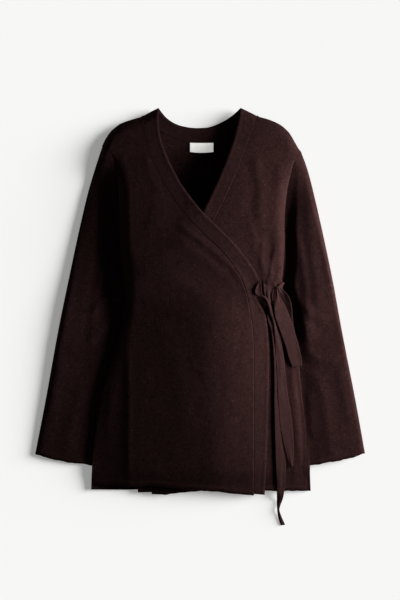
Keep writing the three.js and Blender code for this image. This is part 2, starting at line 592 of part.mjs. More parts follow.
// A sleeve: one tube from the armhole to the cuff, laid flat, its inner edge tucked under the body
const STATIONS = [0, 0.02, 0.045, 0.075, 0.11, 0.16, 0.22, ...evenSteps(0.3, 0.97, 10), 1];
const SLEEVE = {
  cuffLength: 152,
  narrowed: 0.75, // share of the sleeve's length at which it is as narrow as its cuff
  wave: { height: 2.2, turns: 2.2, from: 0.7 }, // the cuff's edge
  bowEnds: 0.6, // where the armhole's bow has died out
  leaves: 0.13, // where the top has left the armhole seam's height
  underLeaves: 0.1,
  underarmLeaves: 0.07,
  rise: { start: 2, run: 46 }, // from the body's edge outward, over which it rises from under the body
  underarmGap: { share: 0.4, seams: 4, base: 1.5 }, // its armhole seam's gap, in seam gaps
};
function sleeve(side) {
  const rows = SLEEVES[side];
  const outward = side === "left" ? -1 : 1;
  const innerCount = 2;
  const levelCount = 9;
  const outerCount = 3;
  const half = innerCount + levelCount + outerCount;
  const at = (s, column) => along(rows, "s", column, s);
  const cuffWave = (w) => SLEEVE.wave.height * Math.sin(w * Math.PI * SLEEVE.wave.turns);
  // share of the way from the inner edge to the outer edge
  const shareAt = (q, length) => {
    const inner = SLEEVE_INNER_FOLD / length;
    const outer = 1 - SLEEVE_OUTER_FOLD / length;
    if (q < innerCount) return inner * (1 - Math.cos((q / innerCount) * (Math.PI / 2)));
    if (q <= innerCount + levelCount) return lerp(inner, outer, (q - innerCount) / levelCount);
    return 1 - (1 - outer) * (1 - Math.cos(((half - q) / outerCount) * (Math.PI / 2)));
  };
  // the armhole seam's bow away from the straight line between its ends
  const bow = (w) => {
    const y = lerp(UNDERARM_Y, TIP_Y[side], w);
    const { share, seams, base } = SLEEVE.underarmGap;
    const gap = SEAM_GAP * (base + seams * (1 - ease(w / share)));
    return sideX(side, y) + outward * gap - lerp(rows[0].innerX, rows[0].outerX, w);
  };
  const place = (s, w) => {
    const fade = (1 - ease(s / SLEEVE.bowEnds)) ** 1.5;
    const cuff = ease((s - SLEEVE.wave.from) / (1 - SLEEVE.wave.from));
    return [
      lerp(at(s, "innerX"), at(s, "outerX"), w) + bow(w) * fade,
      lerp(at(s, "innerY"), at(s, "outerY"), w) + cuffWave(w) * cuff,
    ];
  };
  const surface = (column, r) => {
    const q = ((column % (2 * half)) + 2 * half) % (2 * half);
    const under = q > half;
    const s = between(STATIONS, r);
    const length = lerp(ARMHOLE_LENGTH, SLEEVE.cuffLength, ease(s / SLEEVE.narrowed));
    const w = shareAt(under ? 2 * half - q : q, length);
    const [x, y] = place(s, w);
    const seamY = lerp(UNDERARM_Y, TIP_Y[side], w);
    const seamX = sideX(side, seamY);
    const leave = ease(s / SLEEVE.leaves);
    const innerRound = round((w * length) / SLEEVE_INNER_FOLD);
    const outerRound = round(((1 - w) * length) / SLEEVE_OUTER_FOLD);
    const tucked = Math.abs(x) < Math.abs(sideX(side, y));
    const bodyEdge = Math.abs(sideX(side, Math.min(y, UNDERARM_Y)));
    const pastBody = ease((Math.abs(x) - bodyEdge + SLEEVE.rise.start) / SLEEVE.rise.run);
    const level = lerp(SLEEVE_TUCK_Z, along(SLEEVE_HEIGHTS, "s", "top", s), tucked ? 0 : pastBody);
    const underarmZ = turnedDown(0, sideX(side, UNDERARM_Y), UNDERARM_Y) - SEAM_GAP / 2;
    const innerMid = lerp(underarmZ, SLEEVE_TUCK_Z / 2, ease(s / SLEEVE.underarmLeaves));
    const outerMid = lerp(SHOULDER_Z - SEAM_GAP / 2, along(SLEEVE_HEIGHTS, "s", "top", s) / 2, leave);
    const seamTop = w > 0 ? turnedDown(0, seamX, seamY) : innerMid;
    const seamUnder = w > 0 ? backBottom(seamX, seamY) : innerMid;
    const levelTop = lerp(innerMid, lerp(outerMid, level, outerRound), innerRound);
    const levelUnder = lerp(innerMid, lerp(outerMid, 0, outerRound), innerRound);
    if (under) return new THREE.Vector3(x, y, lerp(seamUnder, levelUnder, ease(s / SLEEVE.underLeaves)));
    return new THREE.Vector3(x, y, lerp(seamTop, levelTop, leave));
  };
  return wall(surface, 2 * half, STATIONS.length, CLOTH, { ring: true, flip: side === "right" });
}

// The bare label that hangs inside the neck from the band's seam
function label() {
  const size = { width: 44.5, height: 18.5, x: 3.2, top: 328.2, cornerDrop: 1.2, lift: 0.6, hang: 0.8 };
  const columns = 9;
  const rows = 4;
  const surface = (q, r) => {
    const across = q / (columns - 1) - 0.5;
    const down = 1 - r / (rows - 1);
    const y = size.top - size.height * down + size.cornerDrop * (4 * across * across) * (0.4 + down);
    const z = CLOTH + LABEL_CLOTH + size.lift + size.hang * down;
    return new THREE.Vector3(size.x + size.width * across, y, z);
  };
  return wall(surface, columns, rows, LABEL_CLOTH);
}

// The ties, each a flat ribbon: a row for each bend, at the middle of its width.
// up: height above the body's level; lean: the width's direction in plan, degrees from +X;
// turn: how far the width is turned up on its edge
const TAIL_LONG = [
  { x: 130.5, y: 27, up: 2.4, width: 11, lean: 4, turn: 0 },
  { x: 131.8, y: 8, up: 2.2, width: 14, lean: 4, turn: 0 },
  { x: 134.4, y: -10, up: 2.6, width: 18, lean: 10, turn: 0 },
  { x: 141, y: -34, up: 2.6, width: 22, lean: 12, turn: 0 },
  { x: 147, y: -60, up: 2.6, width: 24, lean: 6, turn: 0 },
  { x: 149.5, y: -105, up: 2.6, width: 24, lean: 2, turn: 0 },
  { x: 150.5, y: -160, up: 2.6, width: 24, lean: 2, turn: 0 },
  { x: 152, y: -216, up: 2.6, width: 24, lean: 2, turn: 0 },
  { x: 154, y: -268, up: 2.6, width: 24, lean: 3, turn: 0 },
  { x: 155, y: -300, up: 2.6, width: 23, lean: 2, turn: 8 },
  { x: 153.6, y: -322, up: 2.8, width: 22, lean: -2, turn: 26 },
  { x: 151.4, y: -342, up: 2.6, width: 21, lean: -6, turn: 52 },
  { x: 149, y: -360, up: 1.8, width: 20, lean: -4, turn: 80 },
  { x: 150.6, y: -377, up: 1.8, width: 20, lean: 10, turn: 102 },
  { x: 157, y: -395, up: 1.8, width: 20, lean: 22, turn: 114 },
];
const TAIL_SHORT = [
  { x: 128.6, y: 26.3, up: 8.2, width: 9, lean: 16, turn: 12 },
  { x: 133, y: 14, up: 7.4, width: 10, lean: 16, turn: 30 },
  { x: 138, y: -2, up: 6.6, width: 12, lean: 16, turn: 42 },
  { x: 142.8, y: -21, up: 6.2, width: 14, lean: 14, turn: 46 },
  { x: 146.4, y: -45, up: 5.8, width: 16, lean: 10, turn: 44 },
  { x: 149, y: -68, up: 5.6, width: 18, lean: 6, turn: 38 },
  { x: 152, y: -98, up: 5.2, width: 20, lean: 4, turn: 32 },
  { x: 155, y: -130, up: 5, width: 21, lean: 5, turn: 26 },
  { x: 158.8, y: -165, up: 5, width: 22.5, lean: 7, turn: 18 },
  { x: 163.4, y: -197, up: 5, width: 24, lean: 8, turn: 6 },
  { x: 166.6, y: -226, up: 5, width: 24, lean: 6, turn: -12 },
  { x: 169.9, y: -253, up: 5.2, width: 23.5, lean: 8, turn: -36 },
  { x: 172.2, y: -272, up: 5.2, width: 23, lean: 10, turn: -54 },
  { x: 173.4, y: -287, up: 5.2, width: 22, lean: 10, turn: -64 },
];
const LOOP = [
  { x: 148.2, y: 44, up: 8.5, width: 9, lean: 24, turn: 0 },
  { x: 154, y: 39, up: 6.6, width: 14, lean: 22, turn: 0 },
  { x: 160, y: 28, up: 5, width: 20, lean: 14, turn: 0 },
  { x: 165.5, y: 4, up: 4.4, width: 21.5, lean: 4, turn: 0 },
  { x: 169.6, y: -26, up: 4.4, width: 22, lean: 2, turn: 0 },
  { x: 175.8, y: -56, up: 4.6, width: 22.5, lean: 5, turn: 0 },
  { x: 180, y: -80, up: 5, width: 21, lean: 5, turn: 0 },
  { x: 181.6, y: -92, up: 6.2, width: 20, lean: 4, turn: 0 },
  { x: 182, y: -97, up: 9.4, width: 20, lean: 4, turn: 0 },
  { x: 181.4, y: -92, up: 12.4, width: 20.5, lean: 4, turn: 0 },
  { x: 179.6, y: -80, up: 13.6, width: 22, lean: 5, turn: 0 },
  { x: 173.8, y: -56, up: 14.4, width: 25, lean: 8, turn: 0 },
  { x: 162.8, y: -24, up: 14.6, width: 26, lean: 10, turn: 0 },
  { x: 155, y: 2, up: 14.4, width: 25, lean: 10, turn: 0 },
  { x: 149.8, y: 20, up: 14.2, width: 20, lean: 10, turn: 0 },
  { x: 147.4, y: 32, up: 14.4, width: 13, lean: 16, turn: 0 },
];
const FRONT_STUB = [
  { x: 115.5, y: 76, up: 4.1, width: 9, lean: 24, turn: 0 },
  { x: 113, y: 65, up: 4.3, width: 12, lean: 14, turn: 0 },
  { x: 111.6, y: 53, up: 4.8, width: 14.4, lean: 4, turn: 0 },
  { x: 111.4, y: 43, up: 5.4, width: 14, lean: -6, turn: 0 },
  { x: 113.6, y: 34.5, up: 6, width: 11, lean: -24, turn: 0 },
];
const SIDE_STRAP = [
  { x: 159.4, y: 57, up: -8, width: 13, lean: 100, turn: 0 },
  { x: 159, y: 57, up: -4, width: 13, lean: 100, turn: 0 },
  { x: 157.2, y: 56.6, up: -0.6, width: 13, lean: 99, turn: 0 },
  { x: 153, y: 56, up: 1.4, width: 13, lean: 97, turn: 0 },
  { x: 145, y: 54.5, up: 5, width: 11, lean: 94, turn: 0 },
];
const KNOT = { x: 131.2, y: 44, up: 8.4, radiusX: 12.2, radiusY: 17, radiusZ: 7.6, lean: 14 };
const KNOT_GROOVE = { at: -0.25, reach: 0.16, depth: 0.13 }; // in shares of the knot's radius
const HEM_DROP = { from: -333, to: -356 }; // where the long tail comes down past the hem to the surface

// The level that the ties lie at: the body's, and past the hem the surface
function tieLevel(x, y) {
  const drop = ease((y - HEM_DROP.to) / (HEM_DROP.from - HEM_DROP.to));
  return drop * crownAt(Math.min(x, sideX("right", y)), Math.max(y, HEM_DROP.from));
}

// A tie's ribbon through its rows, with steps between rows
function ribbon(rows, steps, flip) {
  const columns = 4;
  const named = rows.map((row, i) => ({ ...row, at: i }));
  const surface = (q, r) => {
    const at = (key) => along(named, "at", key, r / steps);
    const across = (q / (columns - 1) - 0.5) * at("width");
    const lean = THREE.MathUtils.degToRad(at("lean"));
    const turn = THREE.MathUtils.degToRad(at("turn"));
    const rise = Math.abs(Math.sin(turn)) * (at("width") / 2);
    const x = at("x") + across * Math.cos(lean) * Math.cos(turn);
    const y = at("y") + across * Math.sin(lean) * Math.cos(turn);
    return new THREE.Vector3(x, y, tieLevel(x, y) + at("up") + rise + across * Math.sin(turn));
  };
  return wall(surface, columns, (rows.length - 1) * steps + 1, RIBBON_CLOTH, { flip });
}

// The knot: a rounded lump with a shallow groove where the ribbon wraps it
function knot() {
  const sphere = new THREE.SphereGeometry(1, 20, 12);
  const p = sphere.getAttribute("position");
  const point = new THREE.Vector3();
  const lean = THREE.MathUtils.degToRad(KNOT.lean);
  for (let i = 0; i < p.count; i++) {
    point.fromBufferAttribute(p, i);
    const fromGroove = (point.x - KNOT_GROOVE.at) / KNOT_GROOVE.reach;
    const groove = 1 - KNOT_GROOVE.depth * Math.exp(-(fromGroove ** 2));
    point.set(point.x * KNOT.radiusX, point.y * KNOT.radiusY * groove, point.z * KNOT.radiusZ * groove);
    point.applyAxisAngle(new THREE.Vector3(0, 0, 1), lean);
    p.setXYZ(i, point.x + KNOT.x, point.y + KNOT.y, point.z + tieLevel(KNOT.x, KNOT.y) + KNOT.up);
  }
  return sphere;
}

const wool = () => new THREE.MeshStandardMaterial({ color: WOOL, roughness: 0.95, metalness: 0 });
const tieKnit = () => new THREE.MeshStandardMaterial({ color: RIBBON, roughness: 0.9, metalness: 0 });
const satin = () => new THREE.MeshStandardMaterial({ color: LABEL, roughness: 0.6, metalness: 0 });

const cardigan = new THREE.Group();
function add(name, geometry, material) {
  const mesh = new THREE.Mesh(geometry, material);
  mesh.name = name;
  cardigan.add(mesh);
}

add("back_panel", back(), wool());
add("right_front", front("left", OVER_BAND, "over", overTop), wool());
add("left_front", front("right", UNDER_BAND, "under", underTop), wool());
add("right_front_band", frontBand("left", OVER_BAND, overTop, PINCH.depth), wool());
add("left_front_band", frontBand("right", UNDER_BAND, underTop, 0), wool());
add("back_neck_band", neckBand(), wool());
add("right_sleeve", sleeve("left"), wool());
add("left_sleeve", sleeve("right"), wool());
add("neck_label", label(), satin());
add("front_tie", ribbon(FRONT_STUB, 2, false), tieKnit());
add("side_tie", ribbon(SIDE_STRAP, 2, false), tieKnit());
add("tie_knot", knot(), tieKnit());
add("tie_loop", ribbon(LOOP, 2, false), tieKnit());
add("tie_tail_long", ribbon(TAIL_LONG, 2, false), tieKnit());
add("tie_tail_short", ribbon(TAIL_SHORT, 2, false), tieKnit());

export default cardigan;
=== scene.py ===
"""A long-sleeved wrap cardigan in felted wool knit, laid flat on its back and tied at one side.

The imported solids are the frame. Each piece of cloth is a thin closed shell on its solid's form, finer
than the solid, with the creases, rolled edges and stitches of the garment. Sizes are in millimetres, made
metres at the end. +X is towards the wearer's left, +Y towards the neck, +Z up off the surface.
"""

import logging
import math
from dataclasses import dataclass, field
from enum import Enum
from typing import Callable, Sequence

import bpy
import numpy as np
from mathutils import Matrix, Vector


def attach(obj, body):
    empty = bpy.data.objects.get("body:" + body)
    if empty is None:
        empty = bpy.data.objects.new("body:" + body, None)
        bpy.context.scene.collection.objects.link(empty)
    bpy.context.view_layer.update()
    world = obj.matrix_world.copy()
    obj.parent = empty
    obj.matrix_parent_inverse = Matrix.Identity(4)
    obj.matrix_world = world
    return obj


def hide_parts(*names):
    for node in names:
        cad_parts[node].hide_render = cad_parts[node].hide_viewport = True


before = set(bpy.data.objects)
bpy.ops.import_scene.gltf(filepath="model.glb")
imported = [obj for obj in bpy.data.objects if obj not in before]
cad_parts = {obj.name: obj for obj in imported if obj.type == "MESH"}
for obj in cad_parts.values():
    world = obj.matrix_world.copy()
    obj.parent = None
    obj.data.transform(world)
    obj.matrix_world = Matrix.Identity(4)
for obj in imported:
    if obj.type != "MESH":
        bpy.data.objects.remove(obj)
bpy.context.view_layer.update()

Array = np.ndarray
Height = Callable[[Array, Array], Array]
LOG = logging.getLogger("cardigan")
METRE = 0.001

# Cloth and sewing
CLOTH = 2.0
BAND_CLOTH = 2.6
RIBBON_CLOTH = 1.2
RIBBON_WIDTH = 24.0
LABEL_CLOTH = 1.0
SEAM_GAP = 0.3
SEAM_LAP = 0.5  # how far a panel runs past its seam, under the band
LAYER_GAP = 1.0

# How the garment lies
UNDERARM_Y = 88.0
UNDERARM_SHARE = 0.64  # share of a panel's height that lies below the underarm
HEM_LEVEL = -330.0
ARMHOLE_LENGTH = 235.0
SIDE_FOLD = 22.0
SHOULDER_Z = 12.0
SHOULDER_FOLD = 20.0
SLEEVE_TUCK_Z = 8.5

# y, x of the wearer's right side seam or armhole seam, x of the left one
SIDES = (
    (-345, -207, 210.5), (-285, -204.5, 207.5), (-235, -200.5, 202.5), (-160, -189, 194),
    (-121, -179.5, 190), (-83, -167.5, 186), (-45, -155.5, 179.5), (-7, -147, 170.5),
    (31, -142.5, 161.5), (60, -142.5, 155.5), (UNDERARM_Y, -145.5, 157), (126, -151, 160.5),
    (183, -153, 160.5), (236, -154, 165), (270, -156, 172), (292, -160, 178),
    (305, -166, 185.5), (313, -174.5, 197), (320, -187, 208),
)
# distance out from the middle, y of the wearer's right shoulder's edge, y of the left one's
SHOULDERS = (
    (76, 395.5, 395.2), (95, 387, 386.4), (109, 378.8, 379), (131, 372, 372.4), (150, 365, 364),
    (160, 358, 356.5), (170, 349, 346), (180, 334, 329), (187, 318.5, 317), (195, 301, 307.5),
)
# share of the length, then x and y of the free edge, then x and y of the seam
OVER_BAND = (
    (0, 122.6, -338.5, 101.6, -336.5), (0.11, 126.5, -252, 101.4, -250),
    (0.225, 129.4, -159, 101.6, -158), (0.345, 130.3, -64, 101.4, -66),
    (0.415, 126.5, -8, 98.5, -15), (0.48, 119.5, 41, 91, 27), (0.525, 109.5, 76, 82, 61),
    (0.57, 89.3, 107, 68, 88), (0.62, 64, 138.5, 45.5, 117.5), (0.68, 31, 171.5, 13, 149.5),
    (0.735, -1.5, 204.5, -21.5, 185), (0.81, -36.5, 252, -59, 236), (0.88, -61.5, 301, -87.5, 290),
    (0.94, -76, 345, -103.5, 335), (1, -78.9, 394.7, -108.6, 378.9),
)
UNDER_BAND = (
    (0, -117.8, -334, -91, -333.5), (0.126, -119.7, -235, -92.7, -235), (0.27, -123, -121, -96, -121),
    (0.39, -125.4, -26, -98.5, -28), (0.464, -119.7, 31, -94.5, 20), (0.514, -105, 69, -84.5, 51),
    (0.57, -74, 101, -56.5, 80), (0.64, -38, 139, -19.5, 119.5), (0.705, -5.7, 179, 14.5, 162),
    (0.757, 13.3, 215, 37, 202), (0.819, 34.2, 259, 59, 248), (0.876, 51.3, 301, 77, 293),
    (0.935, 66, 345, 93, 336), (1, 76.9, 394.7, 108.6, 379.2),
)
NECK_BAND = (
    (0, -78.9, 394.7, -108.6, 378.9), (0.12, -63.5, 376, -87, 357), (0.27, -43.5, 363.5, -58, 341.5),
    (0.42, -19.5, 357.6, -26.5, 331.5), (0.5, -1, 356.7, 0, 329.4), (0.58, 17.5, 358.3, 26.5, 331.5),
    (0.73, 41, 367.7, 58, 341.5), (0.88, 61, 380.3, 87, 357.4), (1, 76.9, 394.7, 108.6, 379.2),
)
# x, then y of the hem of the over front, the under front and the back
HEMS = (
    (-210, -321, -336, -328), (-160, -319, -336, -328.5), (-125, -323, -336.5, -328.5),
    (-90, -321, -338, -327), (-50, -325, -336, -326), (-10, -329, -331, -326), (50, -334, -330, -326),
    (102, -339, -330.5, -326.5), (150, -340, -331.5, -327), (210, -339, -331, -328),
)
# y, height of the lowest front layer at the middle, height of the side or armhole seam
BODY_HEIGHTS = (
    (-345, 12, 7), (-318, 16.5, 10), (-290, 23, 14.5), (-200, 31, 18), (-80, 33.5, 19), (30, 33.5, 19),
    (70, 34, 18.5), (UNDERARM_Y, 35, 17), (102, 36, 14), (128, 37, 11.5), (200, 37, 11.5), (240, 35, 15),
    (265, 33, 18.5), (290, 31, 21.5), (310, 29, 23), (400, 23, 22),
)
# place across the body from side to side, share of the layers' height at the waist and hem, and at the chest
CROWN = (
    (-1, 0.54, 0.82), (-0.8, 0.66, 0.89), (-0.6, 0.81, 0.95), (-0.38, 0.97, 1), (-0.15, 1.13, 1.03),
    (0.02, 1.21, 1.04), (0.12, 1.22, 1.04), (0.25, 1.16, 1.03), (0.42, 1, 1), (0.6, 0.79, 0.95),
    (0.8, 0.58, 0.88), (1, 0.44, 0.8),
)
# share of the length, then x and y of the outer edge, then x and y of the inner edge
RIGHT_SLEEVE = (
    (0, -187, 319.5, -146.2, UNDERARM_Y), (0.04, -194.5, 297, -146.6, 69), (0.08, -201.5, 275, -144.4, 51),
    (0.15, -212.5, 238, -139.6, 24), (0.28, -229.5, 164, -134.5, -24), (0.45, -249.2, 69, -137, -88),
    (0.62, -268.6, -26, -144.5, -150), (0.85, -293.5, -164, -156, -236), (1, -312.6, -262.6, -161.5, -294),
)
LEFT_SLEEVE = (
    (0, 194, 310, 157.8, UNDERARM_Y), (0.04, 202.4, 288, 158.2, 69), (0.08, 209, 266, 156.4, 51),
    (0.15, 217.2, 232, 152, 24), (0.28, 232.8, 160, 144.5, -24), (0.45, 251.6, 66, 143, -88),
    (0.62, 268.8, -29, 147, -150), (0.85, 295.2, -164, 156, -236), (1, 312.6, -261.3, 161.5, -294.4),
)
# share of the length, height of the sleeve's crest
SLEEVE_HEIGHTS = ((0, 22), (0.2, 25), (0.6, 25), (0.85, 21), (1, 15))
# x, y, height off the body's level, width, lean in plan, turn up on its edge
TAIL_LONG = (
    (129.6, 20, 1.6, 3, 4, 0), (129.4, 10, 1.6, 3.5, 4, 0), (128.9, 1.4, 1.8, 6.5, 6, -4),
    (133.2, -12.8, 1.8, 9, 8, -7), (139.5, -26, 1.8, 11, 8, -7), (145, -49, 1.8, 15.5, 6, -5),
    (148.6, -75.5, 1.8, 19.5, 3, -4), (150.8, -110, 1.8, 21.5, 2, -4), (151.6, -160, 1.8, 23, 2, -4),
    (152.6, -216, 1.8, 23, 2, -4), (153, -268, 1.8, 20.5, 1, -3), (152.6, -300, 1.8, 17.2, 0, -2),
    (152.4, -322, 1.9, 15.4, -2, 0), (151.4, -342, 2.2, 12.4, -4, 4), (149.2, -358, 2.6, 7.4, -4, 16),
    (148.6, -367, 2.8, 5, 0, 24), (150.2, -376, 2.4, 6, 6, 12), (153.4, -386, 1.9, 7.6, 8, 2),
    (157.2, -396, 1.7, 8.8, 6, 0),
)
TAIL_SHORT = (
    (116.6, 38.4, 5.6, 3, 60, 0), (120.4, 36.4, 7.2, 5, 62, 0), (125.6, 31.4, 8, 6, 54, 0),
    (130.4, 20.6, 6.8, 6.6, 30, -10), (135, 5.4, 5.2, 6.8, 22, -14), (139.8, -7.9, 4.4, 7, 18, -12),
    (143.4, -22.3, 3.8, 8.6, 14, -9), (146.6, -43, 3.4, 11.4, 10, -5), (149.4, -66, 3.2, 13.6, 6, -2),
    (152, -98, 3.1, 15.6, 4, -2), (154.8, -130, 3.1, 17.4, 5, -2), (158.4, -165, 3.1, 20.6, 7, -1),
    (162, -197, 3.1, 23.4, 8, 0), (165.6, -226, 3.2, 21.6, 14, 0), (169.4, -253, 3.3, 17.4, 24, 0),
    (172, -272, 3.4, 12.4, 34, 0), (173.8, -284, 3.4, 6.5, 40, 0),
)
LOOP = (
    (147.6, 54, 4.6, 4, 40, 0), (150.6, 49.5, 3.6, 9, 44, 6), (155.6, 41, 2.2, 15, 38, 12),
    (160, 30, 1.4, 21, 24, 15), (163.2, 12, 1.1, 22.5, 6, 15), (164.8, -6, 1, 22, 2, 11),
    (168.4, -30, 1, 22, 6, 5), (174.6, -56, 1.1, 22.5, 10, 0), (180, -80, 1.4, 21, 10, 0),
    (182.2, -90, 2, 20, 8, 0), (182.8, -95.4, 3.2, 19.4, 6, 0), (182.4, -90, 4.6, 20, 8, 0),
    (180, -79, 5.4, 23, 12, 0), (173, -52, 6, 24.5, 13, 0), (162.6, -20, 6.2, 26, 13, -2),
    (155.6, 0, 6.4, 26.5, 13, -4), (151.2, 14.6, 6.8, 23, 14, -6), (148.4, 26, 7.4, 16, 18, -8),
    (147.2, 36, 8, 9, 24, -10), (146, 48, 6.8, 5.5, 26, 0), (145, 57, 3.4, 4.5, 26, 0),
)
FRONT_STUB = (
    (113.6, 70, 3.4, 2.5, 24, 0), (112, 64, 4.2, 6, 16, 0), (110.6, 57, 4.8, 10, 8, 0),
    (109.9, 49, 5.4, 13, 0, 0), (110.8, 42, 5.8, 14, -12, 0), (114, 37, 5.8, 12, -30, 0),
    (118, 34, 5, 8, -46, 0),
)
SIDE_STRAP = (
    (157.4, 64, -7, 6, -30, 0), (155.4, 61, -4.2, 6.5, -32, 0), (152.6, 57.6, -1.2, 6.5, -34, 0),
    (149.6, 54, 1.6, 6, -38, 0), (147, 51, 3.2, 5, -40, 0),
)
KNOT = (
    (131.4, 63, -2.4, 25, -8, 0), (131, 58, -0.8, 24, -4, 0), (130.4, 52, 1.6, 21.5, 2, 0),
    (129.8, 45, 3.8, 18, 8, 0), (130.2, 38, 5, 14.5, 14, 0), (131.4, 32, 5, 12, 18, 0),
    (132.8, 27, 3.6, 10, 20, 0), (133.6, 24, 1.6, 8.5, 20, 0),
)


class Side(Enum):
    """A side of the garment, by its place along X."""

    WEARERS_RIGHT = -1
    WEARERS_LEFT = 1

    @property
    def seam(self) -> "Curve":
        """The x of this side's side seam and armhole seam, by y."""
        return curve(SIDES, 1 if self is Side.WEARERS_RIGHT else 2)

    @property
    def tip_y(self) -> float:
        """The y of this side's upper end of the armhole seam."""
        return 319.5 if self is Side.WEARERS_RIGHT else 310.0


class Rim(Enum):
    """How round a shell's edge is, as a share of half its thickness."""

    SEAM = 0.0
    EASED = 0.6
    ROUND = 1.0


def clamp(t: Array) -> Array:
    """Holds a share between 0 and 1."""
    return np.clip(t, 0.0, 1.0)


def lerp(a: Array, b: Array, t: Array) -> Array:
    """The value a share of the way from a to b."""
    return a + (b - a) * t


def ease(t: Array) -> Array:
    """A smooth step from 0 to 1."""
    return clamp(t) ** 2 * (3 - 2 * clamp(t))


def rounded(t: Array) -> Array:
    """A quarter of a round: 0 at a fold's edge, 1 where the cloth is level."""
    return np.where(t >= 1, 1.0, np.sqrt(np.maximum(0.0, 1 - (1 - np.maximum(0.0, t)) ** 2)))


def bell(distance: Array, reach: float) -> Array:
    """1 at no distance, fading over the reach."""
    return np.exp(-((distance / reach) ** 2))


@dataclass(frozen=True)
class Curve:
    """A smooth curve through a table's points."""

    keys: Sequence[float]
    values: Sequence[float]

    def __call__(self, at: Array) -> Array:
        """Reads the curve.

        Args:
            at: Values of the key, of any shape.

        Returns:
            The curve's values there, held at its ends beyond them.
        """
        keys, values = np.asarray(self.keys, float), np.asarray(self.values, float)
        at = np.asarray(at, float)
        last = len(keys) - 1
        i = np.clip(np.searchsorted(keys, at, side="left") - 1, 0, last - 1)
        low = np.maximum(np.arange(last + 1) - 1, 0)
        high = np.minimum(np.arange(last + 1) + 1, last)
        slope = (values[high] - values[low]) / (keys[high] - keys[low])
        gap = keys[i + 1] - keys[i]
        t = clamp((at - keys[i]) / gap)
        start = (2 * t**3 - 3 * t**2 + 1) * values[i] + (t**3 - 2 * t**2 + t) * gap * slope[i]
        end = (3 * t**2 - 2 * t**3) * values[i + 1] + (t**3 - t**2) * gap * slope[i + 1]
        return start + end


def curve(rows: Sequence[Sequence[float]], value: int, key: int = 0) -> Curve:
    """A table's column as a curve.

    Args:
        rows: The table.
        value: The column that the curve gives.
        key: The column that it is read by.

    Returns:
        The curve, with its keys rising.
    """
    ordered = sorted(rows, key=lambda row: row[key])
    return Curve([row[key] for row in ordered], [row[value] for row in ordered])


@dataclass(frozen=True)
class Crease:
    """A fold along a line of points: a ridge, or a trough where its height is negative."""

    points: Sequence[tuple[float, float]]
    reach: float
    height: float
    hollow: float = 0.0

    def at(self, x: Array, y: Array) -> Array:
        """Reads the crease's height.

        Args:
            x: Places across the garment.
            y: Places up the garment.

        Returns:
            Heights in millimetres, tapered towards both ends.
        """
        spots = np.asarray(self.points, float)
        runs = np.linalg.norm(np.diff(spots, axis=0), axis=1)
        before = np.concatenate([[0.0], np.cumsum(runs)])
        away = np.full(np.shape(x), np.inf)
        share = np.zeros(np.shape(x))
        side = np.zeros(np.shape(x))
        for k, run in enumerate(runs):
            way = (spots[k + 1] - spots[k]) / run
            ahead = ((x - spots[k, 0]) * way[0] + (y - spots[k, 1]) * way[1]) / run
            held = clamp(ahead)
            dx, dy = x - spots[k, 0] - way[0] * run * held, y - spots[k, 1] - way[1] * run * held
            far = np.hypot(dx, dy)
            past_end = (ahead < 0) & (k == 0) | (ahead > 1) & (k == len(runs) - 1)
            open_ended = np.where(past_end, ahead, held)
            nearer = far < away
            share = np.where(nearer, (before[k] + open_ended * run) / before[-1], share)
            side = np.where(nearer, way[0] * dy - way[1] * dx, side)
            away = np.where(nearer, far, away)
        taper = ease(share / 0.25 + 0.4) * ease((1 - share) / 0.25 + 0.4)
        shape = bell(away, self.reach)
        if self.hollow:
            shape = shape - self.hollow * bell(side + 1.9 * self.reach, self.reach)
        return self.height * taper * shape


@dataclass(frozen=True)
class Ripple:
    """The slight unevenness of cloth that has been worn and steamed, as a sum of long soft waves."""

    seed: int
    height: float
    shortest: float = 16.0
    longest: float = 90.0
    waves: int = 26

    def at(self, x: Array, y: Array) -> Array:
        """Reads the unevenness.

        Args:
            x: Places across the garment.
            y: Places up the garment.

        Returns:
            Heights in millimetres, about nought on average.
        """
        draw = np.random.default_rng(self.seed)
        total = np.zeros(np.broadcast(x, y).shape)
        for length in np.geomspace(self.shortest, self.longest, self.waves):
            angle, phase = draw.uniform(0, math.pi), draw.uniform(0, 2 * math.pi)
            wave = 2 * math.pi / length
            size = (length / self.longest) ** 0.7
            total += size * np.sin(wave * (x * math.cos(angle) + y * math.sin(angle)) + phase)
        return total * self.height / math.sqrt(self.waves)


# The large folds of the solids, then the finer creases of the cloth
OVER_CREASES = (
    Crease(((-42, 150), (84, 44)), 17, 1.3), Crease(((-84, 92), (52, 8)), 18, 0.9),
    Crease(((34, -306), (64, -60)), 30, 1.2), Crease(((-66, 214), (-128, 96)), 24, 1.2),
    Crease(((-38, 172), (20, 128), (60, 92), (84, 62), (93, 30), (94, 2)), 7, 1.35, 0.35),
    Crease(((-8, 120), (44, 84), (76, 46), (86, 8)), 10, 0.4),
    Crease(((-44, 108), (22, 72), (62, 28)), 13, 0.4), Crease(((-104, 310), (-92, 262), (-66, 214)), 8, 0.5),
    Crease(((-135, -60), (-134, -150), (-135, -250), (-133, -316)), 6.5, 0.9, 0.3),
    Crease(((-60, -40), (-30, -130), (-26, -210)), 15, 0.5), Crease(((6, -30), (12, -120)), 14, 0.5),
    Crease(((-140, 20), (-96, -16), (-60, -24)), 12, 0.4), Crease(((88, -20), (84, -110)), 9, 0.4),
    Crease(((-156, -30), (-160, -150), (-166, -316)), 15, -0.5),
    Crease(((-164, -130), (-172, -300)), 10, 0.6, 0.3),
)
